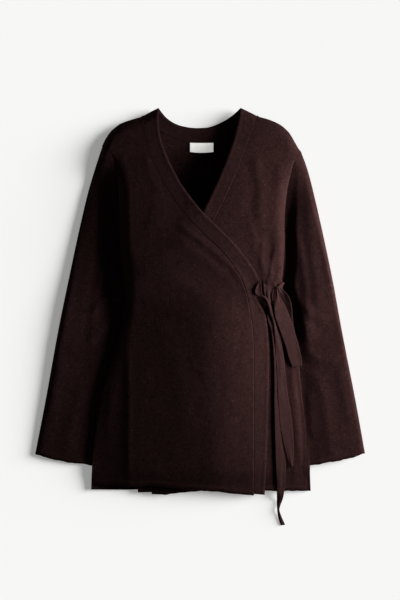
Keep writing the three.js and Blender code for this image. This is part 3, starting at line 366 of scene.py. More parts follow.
UNDER_CREASES = (
    Crease(((148, 104), (172, 196)), 13, 2.4), Crease(((140, 84), (126, 158)), 11, -2),
    Crease(((172, -70), (193, -290)), 8, 2.4),
    Crease(((138, 54), (146, 72), (158, 96)), 3.4, 1.7, 0.5),
    Crease(((142, 50), (152, 60), (160, 74)), 2.6, 1.5, 0.5),
    Crease(((132, 64), (134, 90), (140, 124)), 4.2, 1.3, 0.4),
    Crease(((122, 74), (116, 104), (118, 140)), 5.5, 1.0),
    Crease(((104, 300), (116, 236), (112, 170)), 10, 1.3, 0.4),
    Crease(((92, 190), (104, 130), (122, 88)), 8, 0.9),
    Crease(((113, 72), (117, 60), (121, 48)), 2.4, -1.8),
    Crease(((147, 66), (143, 56), (140, 46)), 2.6, -2.2),
    Crease(((127, 70), (129, 56), (130, 48)), 2.2, 1.1), Crease(((148, 30), (156, -20), (160, -70)), 4, 0.8),
    Crease(((186, -96), (199, -190), (203, -300)), 3.6, 1.6, 0.6),
    Crease(((168, -130), (180, -230), (178, -318)), 7, 1.0), Crease(((150, 290), (148, 240)), 9, 0.9),
)
BACK_CREASES = (
    Crease(((-120, 300), (-40, 214), (20, 190)), 14, 1.2),
    Crease(((110, 250), (40, 170), (-10, 60)), 12, 1.0),
    Crease(((-90, -40), (-70, -200)), 13, 0.9), Crease(((70, 10), (86, -160), (70, -300)), 14, 1.1),
    Crease(((-20, 280), (4, 240), (-6, 190)), 9, 0.8),
)
RIGHT_SLEEVE_CREASES = (
    Crease(((-200, 240), (-206, 120), (-222, 10)), 13, 1.5),
    Crease(((-176, 120), (-196, 40), (-206, -60)), 9, 1.2, 0.4),
    Crease(((-170, 40), (-204, 6), (-236, -6)), 8, 1.3, 0.5),
    Crease(((-178, -20), (-214, -52), (-252, -60)), 9, 1.1, 0.4),
    Crease(((-220, -120), (-246, -210), (-252, -262)), 12, 1.2),
    Crease(((-196, -150), (-214, -240)), 10, 0.9),
    Crease(((-186, 296), (-184, 262), (-176, 226)), 7, 1.2, 0.4),
    Crease(((-260, -80), (-284, -190)), 9, 0.8),
)
LEFT_SLEEVE_CREASES = (
    Crease(((206, 230), (212, 110), (224, 20)), 12, 1.4),
    Crease(((186, 150), (200, 60), (206, -40)), 8, 1.3, 0.4),
    Crease(((188, 30), (216, 0), (240, -8)), 8, 1.2, 0.5),
    Crease(((196, -60), (228, -84), (262, -80)), 10, 1.0, 0.4),
    Crease(((226, -110), (240, -200), (250, -268)), 12, 1.3),
    Crease(((204, -140), (210, -230)), 9, 1.0),
    Crease(((190, 300), (184, 266), (180, 230)), 6, 1.3, 0.5),
    Crease(((262, -100), (284, -200)), 10, 0.9),
)


def folds(creases: Sequence[Crease], x: Array, y: Array) -> Array:
    """The sum of some creases' heights at places on the garment."""
    return sum((crease.at(x, y) for crease in creases), np.zeros(np.shape(x)))


@dataclass(frozen=True)
class BodyForm:
    """The outlines and heights that the pieces of the body share.

    A start is where something begins and a run is the length over which it grows, in millimetres.
    """

    chest_start: float = -10.0
    chest_run: float = 80.0
    seam_drop: float = 0.34
    right_drop_share: float = 0.6
    drop_start: float = 60.0
    edge_spring: float = -1.1
    spring_reach: float = 26.0
    spring_start: float = 20.0
    waist_run: float = 60.0
    cover_start: float = 72.0
    cover_rise: float = 76.0
    underarm_opening: float = 42.0
    tuck_lift: float = 10.5
    tuck_slope: float = 38.0
    tuck_margin: float = 4.0
    tuck_top: float = 126.0
    tuck_hem: tuple[float, float] = (-344.0, -278.0)
    hidden_drop: float = 1.4
    hidden_start: float = 14.0
    hidden_run: float = 20.0
    neck_lift: float = 7.0
    neck_start: float = 296.0
    neck_run: float = 36.0
    hem_lift: float = 2.5
    hem_reach: float = 22.0
    hem_run: float = 20.0
    tie_drop: tuple[float, float] = (26.0, 3.0)

    def side_x(self, x: Array, y: Array) -> Array:
        """The x of the side or armhole seam on the same side as x."""
        return np.where(np.asarray(x) < 0, curve(SIDES, 1)(y), curve(SIDES, 2)(y))

    def shoulder_y(self, side_of: Array, x: Array) -> Array:
        """The y of the shoulder's edge at a distance out, on the side that side_of lies."""
        out = np.abs(x)
        return np.where(np.asarray(side_of) < 0, curve(SHOULDERS, 1)(out), curve(SHOULDERS, 2)(out))

    def inside_shoulder(self, x: Array, y: Array) -> Array:
        """How far a point lies inside the shoulder's edge."""
        run = 1.0
        out = np.abs(x)
        slope = (self.shoulder_y(x, out + run) - self.shoulder_y(x, np.abs(out - run))) / (2 * run)
        return (self.shoulder_y(x, x) - y) / np.hypot(1, slope)

    def inside_side(self, x: Array, y: Array) -> Array:
        """How far a point lies inside the nearer side seam."""
        return np.abs(self.side_x(x, y)) - np.abs(x)

    def crown(self, x: Array, y: Array) -> Array:
        """Top of the lowest front layer, before its edges are turned down."""
        low, high = curve(SIDES, 1)(y), curve(SIDES, 2)(y)
        across = np.clip((2 * x - low - high) / (high - low), -1, 1)
        chest = ease((y - self.chest_start) / self.chest_run)
        return curve(BODY_HEIGHTS, 1)(y) * lerp(curve(CROWN, 1)(across), curve(CROWN, 2)(across), chest)

    def seam_z(self, x: Array, y: Array) -> Array:
        """Height of the side or armhole seam, lower than the solids' seam below the waist."""
        share = np.where(np.asarray(x) > 0, self.seam_drop, self.right_drop_share * self.seam_drop)
        return curve(BODY_HEIGHTS, 2)(y) * (1 - share * ease((self.drop_start - y) / self.waist_run))

    def over_lift(self, x: Array, y: Array) -> Array:
        """How far the over front stands off the lowest layer."""
        to_edge = curve(OVER_BAND, 1, 2)(y) - x
        below = ease((self.spring_start - y) / self.waist_run)
        spring = self.edge_spring * below * ease(1 - to_edge / self.spring_reach)
        cover = ease((x - curve(UNDER_BAND, 1, 2)(y) + self.cover_start) / self.cover_rise)
        return (BAND_CLOTH + LAYER_GAP) * cover + spring

    def turned_down(self, level: Array, x: Array, y: Array) -> Array:
        """Turns a level down to the seams at the side and at the shoulder."""
        seam = self.seam_z(x, y)
        side = lerp(seam, level, rounded(self.inside_side(x, y) / SIDE_FOLD))
        return lerp(SHOULDER_Z, side, rounded(self.inside_shoulder(x, y) / SHOULDER_FOLD))

    def over_top(self, x: Array, y: Array) -> Array:
        """Top of the over front."""
        relief = folds(OVER_CREASES, x, y) + Ripple(11, 0.22).at(x, y)
        return self.turned_down(self.crown(x, y) + self.over_lift(x, y) + relief, x, y)

    def under_top(self, x: Array, y: Array) -> Array:
        """Top of the under front, a little lower where the over front hides it."""
        hidden = ease((curve(OVER_BAND, 1, 2)(y) - x - self.hidden_start) / self.hidden_run)
        relief = folds(UNDER_CREASES, x, y) + Ripple(12, 0.2).at(x, y)
        return self.turned_down(self.crown(x, y) + relief - self.hidden_drop * hidden, x, y)

    def sleeve_edge(self, x: Array, y: Array) -> Array:
        """The distance out of the tucked sleeve's inner edge."""
        y = np.minimum(y, UNDERARM_Y)
        right, left = curve(RIGHT_SLEEVE, 3, 4)(y), curve(LEFT_SLEEVE, 3, 4)(y)
        return np.abs(np.where(np.asarray(x) < 0, right, left))

    def back_bottom(self, x: Array, y: Array) -> Array:
        """Underside of the back: flat on the surface, lifted by the sleeves, turned up at its seams."""
        past = self.sleeve_edge(x, y) - np.abs(x) - self.tuck_margin
        low, high = self.tuck_hem
        ends = ease((self.tuck_top - y) / self.tuck_slope) * ease((y - low) / (high - low))
        lift = self.tuck_lift * ends * (1 - ease(past / self.tuck_slope))
        neck = self.neck_lift * ease((y - self.neck_start) / self.neck_run)
        lift = lift + neck + self.hem_lift * ease((HEM_LEVEL + self.hem_reach - y) / self.hem_run)
        seam = self.seam_z(x, y) - 2 * SEAM_GAP
        seam = seam * (1 - rounded((y - UNDERARM_Y) / self.underarm_opening))
        side = lerp(seam, lift, rounded(self.inside_side(x, y) / SIDE_FOLD))
        return lerp(SHOULDER_Z - SEAM_GAP, side, rounded(self.inside_shoulder(x, y) / SHOULDER_FOLD))

    def tie_level(self, x: Array, y: Array) -> Array:
        """The level that the ties lie at: the body's, and past the hem the surface."""
        low, high = (HEM_LEVEL - drop for drop in self.tie_drop)
        inside = np.minimum(x, curve(SIDES, 2)(y))
        return ease((y - low) / (high - low)) * self.crown(inside, np.maximum(y, high))


def edge_roll(distance: Array, size: float, reach: float = 3.0) -> Array:
    """The relief of a raw felted edge that rolls: a soft ridge just inside it, then down to the edge."""
    return size * (bell(distance - 2.0 * reach, reach) - 0.9 * bell(distance, reach))


def edge_wander(distance: Array, seed: int, x: Array) -> Array:
    """How far a raw hem or cuff wanders up and down, fading with the distance from the edge."""
    return 1.2 * bell(distance, 7) * Ripple(seed, 1.0, 7, 60).at(x, 0 * x)


@dataclass
class Shell:
    """A closed wall of cloth on a grid of points, rows by columns by three."""

    outer: Array
    thickness: float
    flip: bool = False
    ring: bool = False
    rims: tuple[Rim, Rim, Rim, Rim] = (Rim.ROUND, Rim.ROUND, Rim.ROUND, Rim.ROUND)
    arc_steps: int = 3
    seam_slope: float = 0.8
    drawn_in: float = 0.9

    def normals(self) -> Array:
        """The grid's unit normals, level at seams that are turned to the side.

        Returns:
            An array of the grid's shape.
        """
        up = np.gradient(self.outer, axis=0)
        if self.ring:
            across = np.roll(self.outer, -1, axis=1) - np.roll(self.outer, 1, axis=1)
        else:
            across = np.gradient(self.outer, axis=1)
        normal = np.cross(across, up) * (-1 if self.flip else 1)
        normal /= np.maximum(np.linalg.norm(normal, axis=2, keepdims=True), 1e-9)
        if not self.ring:
            edge = np.zeros(normal.shape[:2], bool)
            edge[:, 0] = edge[:, -1] = edge[-1] = True
            edge &= np.abs(normal[..., 2]) < self.seam_slope
            normal[edge, 2] = 0
            normal[edge] /= np.linalg.norm(normal[edge], axis=1, keepdims=True)
        return normal

    def loops(self) -> list[tuple[Array, Array, Array, Array]]:
        """The shell's edges as loops.

        Returns:
            For each loop its rows, its columns, its steps inward in rows and columns as rows of two, and its
            roundness.
        """
        rows, columns = self.outer.shape[:2]
        first, last, low, high = (rim.value for rim in self.rims)
        if self.ring:
            every, none = np.arange(columns), np.zeros(columns, int)
            inward = np.stack([np.ones(columns, int), none], 1)
            return [
                (none, every, inward, np.full(columns, first)),
                (none + rows - 1, every, -inward, np.full(columns, last)),
            ]
        places = [(0, q, 1, 0, first) for q in range(columns)]
        places += [(r, columns - 1, 0, -1, high) for r in range(1, rows)]
        places += [(rows - 1, q, -1, 0, last) for q in range(columns - 2, -1, -1)]
        places += [(r, 0, 0, 1, low) for r in range(rows - 2, 0, -1)]
        corners = {
            (0, 0): (1, 1, min(first, low)), (0, columns - 1): (1, -1, min(first, high)),
            (rows - 1, columns - 1): (-1, -1, min(last, high)), (rows - 1, 0): (-1, 1, min(last, low)),
        }
        places = [(r, q, *corners.get((r, q), (a, b, k))) for r, q, a, b, k in places]
        table = np.array([place[:4] for place in places])
        return [(table[:, 0], table[:, 1], table[:, 2:], np.array([place[4] for place in places]))]

    def build(self, name: str) -> bpy.types.Object:
        """Makes the shell's mesh object.

        Args:
            name: The object's name.

        Returns:
            The object, in metres, linked to the scene.
        """
        normal = self.normals()
        outer = self.outer.copy()
        thickness = np.broadcast_to(np.asarray(self.thickness, float), outer.shape[:2])
        inner = outer - normal * thickness[..., None]
        rims = []
        for r, q, inward, roundness in self.loops():
            columns = outer.shape[1]
            inside = self.outer[r + inward[:, 0], (q + inward[:, 1]) % columns]
            out = self.outer[r, q] - inside
            out -= normal[r, q] * (out * normal[r, q]).sum(1, keepdims=True)
            out /= np.maximum(np.linalg.norm(out, axis=1, keepdims=True), 1e-9)
            bulge = (roundness * thickness[r, q] / 2)[:, None]
            outer[r, q] -= out * bulge * self.drawn_in
            inner[r, q] -= out * bulge * self.drawn_in
            rims.append((r, q, out, bulge))
        rows, columns = outer.shape[:2]
        count = rows * columns
        grid = np.arange(count).reshape(rows, columns)
        wide = np.concatenate([grid, grid[:, :1]], axis=1) if self.ring else grid
        faces = [np.stack([wide[:-1, :-1], wide[:-1, 1:], wide[1:, 1:], wide[1:, :-1]], -1).reshape(-1, 4)]
        faces.append(faces[0][:, ::-1] + count)
        points = [outer.reshape(-1, 3), inner.reshape(-1, 3)]
        total = 2 * count
        for r, q, out, bulge in rims:
            a, b = outer[r, q], inner[r, q]
            middle, ids = (a + b) / 2, [grid[r, q]]
            for step in range(1, self.arc_steps + 1):
                angle = math.pi * step / (self.arc_steps + 1)
                points.append(middle + math.cos(angle) * (a - middle) + math.sin(angle) * out * bulge)
                ids.append(total + np.arange(len(r)))
                total += len(r)
            ids.append(grid[r, q] + count)
            turn = -1 if self.ring and r[0] else 1
            for near, far in zip(ids[:-1], ids[1:]):
                strip = np.stack([near, far, np.roll(far, -1), np.roll(near, -1)], -1)
                faces.append(strip[:, ::turn])
        placed = np.concatenate(points)
        placed[:, 2] = np.maximum(placed[:, 2], 0)
        return mesh_object(name, placed, np.concatenate(faces))


def mesh_object(name: str, points: Array, faces: Array) -> bpy.types.Object:
    """Makes a smooth-shaded mesh object from four-sided faces.

    Args:
        name: The object's name.
        points: Its points in millimetres.
        faces: Rows of four point numbers.

    Returns:
        The object, in metres, its faces turned outward.
    """
    a, b, c, d = (points[faces[:, k]] for k in range(4))
    volume = (a * np.cross(b, c)).sum() + (a * np.cross(c, d)).sum()
    if volume < 0:
        faces = faces[:, ::-1]
    mesh = bpy.data.meshes.new(name)
    mesh.vertices.add(len(points))
    mesh.vertices.foreach_set("co", (points * METRE).astype(np.float32).ravel())
    mesh.loops.add(faces.size)
    mesh.loops.foreach_set("vertex_index", np.ascontiguousarray(faces, dtype=np.int32).ravel())
    mesh.polygons.add(len(faces))
    mesh.polygons.foreach_set("loop_start", np.arange(0, faces.size, 4, dtype=np.int32))
    mesh.polygons.foreach_set("use_smooth", np.ones(len(faces), bool))
    mesh.update(calc_edges=True)
    mesh.validate()
    made = bpy.data.objects.new(name, mesh)
    bpy.context.scene.collection.objects.link(made)
    return made


class Graph:
    """Adds and links the nodes of a material or a node group."""

    def __init__(self, tree: bpy.types.NodeTree) -> None:
        """Takes the tree that the nodes go in."""
        self.tree = tree

    def add(self, kind: str, **settings: object) -> bpy.types.Node:
        """Adds a node.

        Args:
            kind: Blender's name of the node's type.
            **settings: Properties of the node.

        Returns:
            The new node.
        """
        node = self.tree.nodes.new(kind)
        for name, value in settings.items():
            setattr(node, name, value)
        return node

    def put(self, socket: bpy.types.NodeSocket, value: object) -> None:
        """Links an input to another node's output, or sets it to a plain value."""
        if isinstance(value, bpy.types.NodeSocket):
            self.tree.links.new(value, socket)
        else:
            socket.default_value = value

    def feed(self, node: bpy.types.Node, **inputs: object) -> bpy.types.Node:
        """Sets or links a node's inputs.

        Args:
            node: The node.
            **inputs: Sockets or values by input name, with _ for a space.

        Returns:
            The same node.
        """
        for name, value in inputs.items():
            self.put(node.inputs[name.replace("_", " ")], value)
        return node

    def math(self, operation: str, *values: object, clamped: bool = False) -> bpy.types.NodeSocket:
        """Adds a Math node.

        Args:
            operation: Its operation.
            *values: Sockets or numbers, in order.
            clamped: Whether its result is held between 0 and 1.

        Returns:
            Its output socket.
        """
        node = self.add("ShaderNodeMath", operation=operation, use_clamp=clamped)
        for socket, value in zip(node.inputs, values):
            self.put(socket, value)
        return node.outputs[0]

    def blend(self, share: object, a: object, b: object) -> bpy.types.NodeSocket:
        """Mixes two colours by a share and gives the output socket."""
        node = self.add("ShaderNodeMix", data_type="RGBA")
        for k, value in ((0, share), (6, a), (7, b)):
            self.put(node.inputs[k], value)
        return node.outputs[2]

    def noise(
        self, vector: object, scale: object, detail: float, roughness: float = 0.5
    ) -> bpy.types.NodeSocket:
        """Adds a Noise node on a vector and gives its factor."""
        node = self.add("ShaderNodeTexNoise")
        self.feed(node, Vector=vector, Scale=scale, Detail=detail, Roughness=roughness)
        return node.outputs["Fac"]

    def step(self, value: object, low: float, high: float) -> bpy.types.NodeSocket:
        """Adds a smooth Map Range from low to high and gives its result."""
        node = self.add("ShaderNodeMapRange", interpolation_type="SMOOTHSTEP")
        self.feed(node, Value=value, From_Min=low, From_Max=high)
        return node.outputs["Result"]


class EffectGroups:
    """The shader node groups that the finishes share."""

    def __init__(self) -> None:
        """Builds each group once."""
        self.flecks = self.build_flecks()
        self.knit = self.build_knit()
        self.nap = self.build_nap()

    @staticmethod
    def new_group(name: str, inputs: Sequence[tuple], outputs: Sequence[tuple]) -> tuple:
        """Starts a group.

        Args:
            name: Its name.
            inputs: Rows of name, socket type and starting value.
            outputs: Rows of name and socket type.

        Returns:
            The group, its graph, its input node and its output node.
        """
        group = bpy.data.node_groups.new(name, "ShaderNodeTree")
        for label, kind, value in inputs:
            socket = group.interface.new_socket(label, in_out="INPUT", socket_type=kind)
            if value is not None:
                socket.default_value = value
        for label, kind in outputs:
            group.interface.new_socket(label, in_out="OUTPUT", socket_type=kind)
        graph = Graph(group)
        return group, graph, graph.add("NodeGroupInput"), graph.add("NodeGroupOutput")

    def build_flecks(self) -> bpy.types.NodeTree:
        """Heather: pale and dark fibres carded into the wool.

        Returns:
            A group that gives a colour and a mask of the pale fibres.
        """
        group, graph, given, out = self.new_group(
            "Heather_Flecks",
            [
                ("Vector", "NodeSocketVector", None), ("Ground", "NodeSocketColor", (0.02, 0.01, 0.01, 1)),
                ("Pale", "NodeSocketColor", (0.1, 0.07, 0.07, 1)),
                ("Dark", "NodeSocketColor", (0.01, 0.004, 0.004, 1)),
                ("Fleck Scale", "NodeSocketFloat", 500.0), ("Pale Share", "NodeSocketFloat", 0.5),
            ],
            [("Color", "NodeSocketColor"), ("Pale Mask", "NodeSocketFloat")],
        )
        vector, scale = given.outputs["Vector"], given.outputs["Fleck Scale"]
        small = graph.noise(vector, scale, 2.0, 0.65)
        larger = graph.noise(vector, graph.math("MULTIPLY", scale, 0.31), 3.0, 0.6)
        pale = graph.math("MULTIPLY", graph.step(small, 0.58, 0.7), given.outputs["Pale Share"], clamped=True)
        dark = graph.step(larger, 0.54, 0.32)
        dark_share = graph.math("MULTIPLY", dark, 0.75)
        shaded = graph.blend(dark_share, given.outputs["Ground"], given.outputs["Dark"])
        graph.feed(out, Color=graph.blend(pale, shaded, given.outputs["Pale"]), Pale_Mask=pale)
        return group

    def build_knit(self) -> bpy.types.NodeTree:
        """Felted stocking stitch: columns of stitches, blurred by felting.

        Returns:
            A group that gives a height.
        """
        group, graph, given, out = self.new_group(
            "Felted_Knit",
            [
                ("Vector", "NodeSocketVector", None), ("Wales", "NodeSocketFloat", 520.0),
                ("Courses", "NodeSocketFloat", 640.0), ("Knit Share", "NodeSocketFloat", 0.5),
                ("Felt Scale", "NodeSocketFloat", 900.0),
            ],
            [("Height", "NodeSocketFloat")],
        )
        vector = given.outputs["Vector"]
        bend = graph.math("MULTIPLY", graph.noise(vector, 40.0, 2.0), 3.0)
        parts = graph.feed(graph.add("ShaderNodeSeparateXYZ"), Vector=vector)
        wale = graph.math("MULTIPLY_ADD", parts.outputs["X"], given.outputs["Wales"], bend)
        leg = graph.math("ABSOLUTE", graph.math("SUBTRACT", graph.math("FRACT", wale), 0.5))
        slant = graph.math("MULTIPLY", leg, 1.4)
        course = graph.math("MULTIPLY_ADD", parts.outputs["Y"], given.outputs["Courses"], slant)
        rib = graph.math("SINE", graph.math("MULTIPLY", wale, 2 * math.pi))
        stitch = graph.math("SINE", graph.math("MULTIPLY", course, 2 * math.pi))
        knit = graph.math("MULTIPLY_ADD", stitch, 0.25, graph.math("MULTIPLY_ADD", rib, 0.25, 0.5))
        felt = graph.noise(vector, given.outputs["Felt Scale"], 4.0, 0.7)
        mixed = graph.math("MULTIPLY", graph.math("SUBTRACT", knit, felt), given.outputs["Knit Share"])
        graph.feed(out, Height=graph.math("ADD", mixed, felt))
        return group

    def build_nap(self) -> bpy.types.NodeTree:
        """The brushed nap, which lies lighter and darker in soft patches.

        Returns:
            A group that gives a tone from 0 to 1.
        """
        group, graph, given, out = self.new_group(
            "Brushed_Nap",
            [("Vector", "NodeSocketVector", None), ("Patch Scale", "NodeSocketFloat", 26.0)],
            [("Tone", "NodeSocketFloat")],
        )
        vector, scale = given.outputs["Vector"], given.outputs["Patch Scale"]
        broad = graph.noise(vector, scale, 3.0, 0.6)
        fine = graph.noise(vector, graph.math("MULTIPLY", scale, 6.0), 2.0)
        both = graph.math("MULTIPLY_ADD", fine, 0.4, graph.math("MULTIPLY", broad, 0.6))
        graph.feed(out, Tone=graph.step(both, 0.35, 0.65))
        return group


def new_material(name: str) -> tuple[bpy.types.Material, Graph, bpy.types.NodeSocket]:
    """Starts a material.

    Args:
        name: Its name.

    Returns:
        The material, its empty graph and a socket that gives places on the object.
    """
    made = bpy.data.materials.new(name)
    made.use_nodes = True
    made.node_tree.nodes.clear()
    graph = Graph(made.node_tree)
    return made, graph, graph.add("ShaderNodeTexCoord").outputs["Object"]


@dataclass(frozen=True)
class WoolFinish:
    """Felted wool knit: heather colour, brushed nap, knit relief and a soft sheen."""

    name: str
    slot: str
    ground: tuple[float, float, float] = (0.022, 0.0088, 0.0085)
    pale: tuple[float, float, float] = (0.08, 0.041, 0.039)
    dark: tuple[float, float, float] = (0.011, 0.0042, 0.0042)
    pale_share: float = 0.6
    fleck_scale: float = 430.0
    wales: float = 480.0
    courses: float = 620.0
    knit_share: float = 0.45
    relief: float = 0.0011
    patch_scale: float = 24.0
    roughness: float = 0.92
    sheen: float = 0.03
    sheen_roughness: float = 0.55
    sheen_tint: tuple[float, float, float] = (0.7, 0.36, 0.33)
    grain: float = 0.0
    nap_depth: float = 0.4
    nap_shade: float = 0.74

    def material(self, groups: EffectGroups) -> bpy.types.Material:
        """Builds the material.

        Args:
            groups: The shared effects.

        Returns:
            The material.
        """
        made, graph, place = new_material(self.name)
        turned = graph.add("ShaderNodeMapping")
        graph.feed(turned, Vector=place, Rotation=(0, 0, math.radians(self.grain)))
        vector = turned.outputs["Vector"]
        nap = graph.add("ShaderNodeGroup", node_tree=groups.nap)
        graph.feed(nap, Vector=vector, Patch_Scale=self.patch_scale)
        flecks = graph.add("ShaderNodeGroup", node_tree=groups.flecks)
        graph.feed(
            flecks, Vector=vector, Ground=(*self.ground, 1), Pale=(*self.pale, 1), Dark=(*self.dark, 1),
            Fleck_Scale=self.fleck_scale, Pale_Share=self.pale_share,
        )
        darker = tuple(self.nap_shade * k for k in self.ground)
        laid = graph.math("MULTIPLY", graph.math("SUBTRACT", 1.0, nap.outputs["Tone"]), self.nap_depth)
        toned = graph.blend(laid, flecks.outputs["Color"], (*darker, 1))
        knit = graph.add("ShaderNodeGroup", node_tree=groups.knit)
        graph.feed(knit, Vector=vector, Wales=self.wales, Courses=self.courses, Knit_Share=self.knit_share)
        bump = graph.add("ShaderNodeBump")
        graph.feed(bump, Strength=0.8, Distance=self.relief, Height=knit.outputs["Height"])
        rough = graph.math("MULTIPLY_ADD", nap.outputs["Tone"], -0.06, self.roughness)
        shader = graph.feed(
            graph.add("ShaderNodeBsdfPrincipled"), Base_Color=toned, Roughness=rough,
            Normal=bump.outputs["Normal"], Sheen_Weight=self.sheen, Sheen_Roughness=self.sheen_roughness,
            Sheen_Tint=(*self.sheen_tint, 1), Specular_IOR_Level=0.03,
        )
        graph.feed(graph.add("ShaderNodeOutputMaterial"), Surface=shader.outputs["BSDF"])
        return made


@dataclass(frozen=True)
class SatinFinish:
    """The bare label: a fine white satin weave."""

    name: str = "Label_Satin"
    slot: str = "label"
    color: tuple[float, float, float] = (0.74, 0.73, 0.71)
    shade: tuple[float, float, float] = (0.6, 0.58, 0.56)
    threads: float = 2600.0
    weft_share: float = 1.6

    def material(self, groups: EffectGroups) -> bpy.types.Material:
        """Builds the material.

        Args:
            groups: The shared effects.

        Returns:
            The material.
        """
        made, graph, place = new_material(self.name)
        nap = graph.feed(graph.add("ShaderNodeGroup", node_tree=groups.nap), Vector=place, Patch_Scale=120.0)
        parts = graph.feed(graph.add("ShaderNodeSeparateXYZ"), Vector=place)
        warp = graph.math("SINE", graph.math("MULTIPLY", parts.outputs["X"], self.threads))
        weft = graph.math("SINE", graph.math("MULTIPLY", parts.outputs["Y"], self.threads * self.weft_share))
        weave = graph.math("MULTIPLY_ADD", warp, 0.3, graph.math("MULTIPLY_ADD", weft, 0.2, 0.5))
        bump = graph.feed(graph.add("ShaderNodeBump"), Strength=0.3, Distance=0.0002, Height=weave)
        tone = graph.math("MULTIPLY", graph.math("SUBTRACT", 1.0, nap.outputs["Tone"]), 0.35)
        color = graph.blend(tone, (*self.color, 1), (*self.shade, 1))
        shader = graph.feed(
            graph.add("ShaderNodeBsdfPrincipled"), Base_Color=color, Normal=bump.outputs["Normal"],
            Roughness=0.5, Sheen_Weight=0.1, Specular_IOR_Level=0.4,
        )
        graph.feed(graph.add("ShaderNodeOutputMaterial"), Surface=shader.outputs["BSDF"])
        return made


@dataclass
class Piece:
    """A finished piece: its object with its body, solid and material; its slot is only logged."""

    name: str
    node: str

    def dress(
        self, made: bpy.types.Object, slot: str, material: bpy.types.Material
    ) -> bpy.types.Object:
        """Gives the object its material and its place in the frame.

        Args:
            made: The object.
            slot: The record's material slot.
            material: The material.

        Returns:
            The same object.
        """
        made.data.materials.append(material)
        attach(made, "root")
        if self.node:
            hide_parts(self.node)
        LOG.info("%s: %d faces, %s", made.name, len(made.data.polygons), slot)
        return made


def fold_steps(count: int) -> Array:
    """Shares of a fold's reach, closer together at its edge."""
    return 1 - np.cos(np.arange(count) / count * (math.pi / 2))


def panel_rows(count: int, fold_count: int = 12, fold_share: float = 0.034) -> Array:
    """Shares of the way up a panel, closer together at its shoulder."""
    level = np.linspace(0, 1 - fold_share, count)
    return np.concatenate([level[:-1], 1 - fold_share * fold_steps(fold_count)[::-1]])


PANEL_ROWS = np.unique(panel_rows(236))


def side_y(side: Side, hem_y: float, v: Array) -> Array:
    """The height up the side at a share of the way up."""
    low = lerp(hem_y, UNDERARM_Y, v / UNDERARM_SHARE)
    high = lerp(UNDERARM_Y, side.tip_y, (v - UNDERARM_SHARE) / (1 - UNDERARM_SHARE))
    return np.where(v < UNDERARM_SHARE, low, high)


@dataclass
class Patch:
    """A patch between four edges, each a function from shares to points."""

    near: Callable[[Array], Array]
    far: Callable[[Array], Array]
    hem: Callable[[Array], Array]
    top: Callable[[Array], Array]

    def points(self, u: Array, v: Array) -> Array:
        """Places in the patch.

        Args:
            u: Shares across, rows by columns.
            v: Shares up, one a row.

        Returns:
            Rows by columns by two.
        """
        zero, one, share = np.zeros(1), np.ones(1), u[..., None]
        sides = lerp(self.near(v)[:, None], self.far(v)[:, None], share)
        hem = self.hem(u) - lerp(self.near(zero)[0], self.far(zero)[0], share)
        top = self.top(u) - lerp(self.near(one)[0], self.far(one)[0], share)
        return sides + (1 - v)[:, None, None] * hem + (v**2)[:, None, None] * top


@dataclass
class FrontPanel(Piece):
    """One front, from its side seam and armhole to the seam of its band."""

    side: Side = Side.WEARERS_RIGHT
    band: Sequence[Sequence[float]] = OVER_BAND
    hem_column: int = 1
    fold_count: int = 10
    level_count: int = 96
    roll: float = 0.9
    slanting: tuple[float, float] = (0.46, 0.94)
    slant_run: float = 0.06

    def seam(self, t: Array) -> Array:
        """The panel's edge at the band: a little past the seam, and lower where the band slants."""
        toward = -self.side.value
        low, high = self.slanting
        slant = SEAM_GAP * ease((t - low) / self.slant_run) * ease((high - t) / self.slant_run)
        return np.stack([curve(self.band, 3)(t) + toward * SEAM_LAP, curve(self.band, 4)(t) - slant], -1)

    def grid(self, form: BodyForm) -> Array:
        """Places of the panel's points in plan.

        Args:
            form: The body's outlines.

        Returns:
            Rows by columns by two.
        """
        seam_curve, hem_curve = self.side.seam, curve(HEMS, self.hem_column)
        hem_y = float(hem_curve(seam_curve(HEM_LEVEL)))
        start, end = self.seam(np.zeros(1))[0], self.seam(np.ones(1))[0]
        tip = side_y(self.side, hem_y, np.ones(1))[0]

        def near(v: Array) -> Array:
            """The side seam and the armhole seam."""
            y = side_y(self.side, hem_y, v)
            return np.stack([seam_curve(y), y], -1)

        def hem(u: Array) -> Array:
            """The hem."""
            x = lerp(seam_curve(hem_y), start[0], u)
            return np.stack([x, hem_curve(x)], -1)

        def top(u: Array) -> Array:
            """The shoulder seam."""
            x = lerp(seam_curve(tip), end[0], u)
            return np.stack([x, form.shoulder_y(x, x)], -1)

        v = PANEL_ROWS
        whole = np.linalg.norm(self.seam(v) - near(v), axis=1)[:, None]
        fold = SIDE_FOLD * fold_steps(self.fold_count)[None, :] / whole
        level = lerp(SIDE_FOLD / whole, 1.0, np.linspace(0, 1, self.level_count + 1)[None, :])
        return Patch(near, self.seam, hem, top).points(np.concatenate([fold, level], axis=1), v)

    def build(self, form: BodyForm, top: Height) -> bpy.types.Object:
        """Makes the panel's shell.

        Args:
            form: The body's outlines.
            top: The panel's upper surface.

        Returns:
            The object.
        """
        plan = self.grid(form)
        x, y = plan[..., 0], plan[..., 1]
        above_hem = y - y[:1]
        inward = ease(form.inside_side(x, y) / SIDE_FOLD)
        z = top(x, y) + edge_roll(above_hem, self.roll) * (0.3 + 0.7 * inward)
        y = y + edge_wander(above_hem, 31 + self.hem_column, x)
        rims = (Rim.ROUND, Rim.SEAM, Rim.SEAM, Rim.SEAM)
        shell = Shell(np.stack([x, y, z], -1), CLOTH, flip=self.side is Side.WEARERS_LEFT, rims=rims)
        return shell.build(self.name)


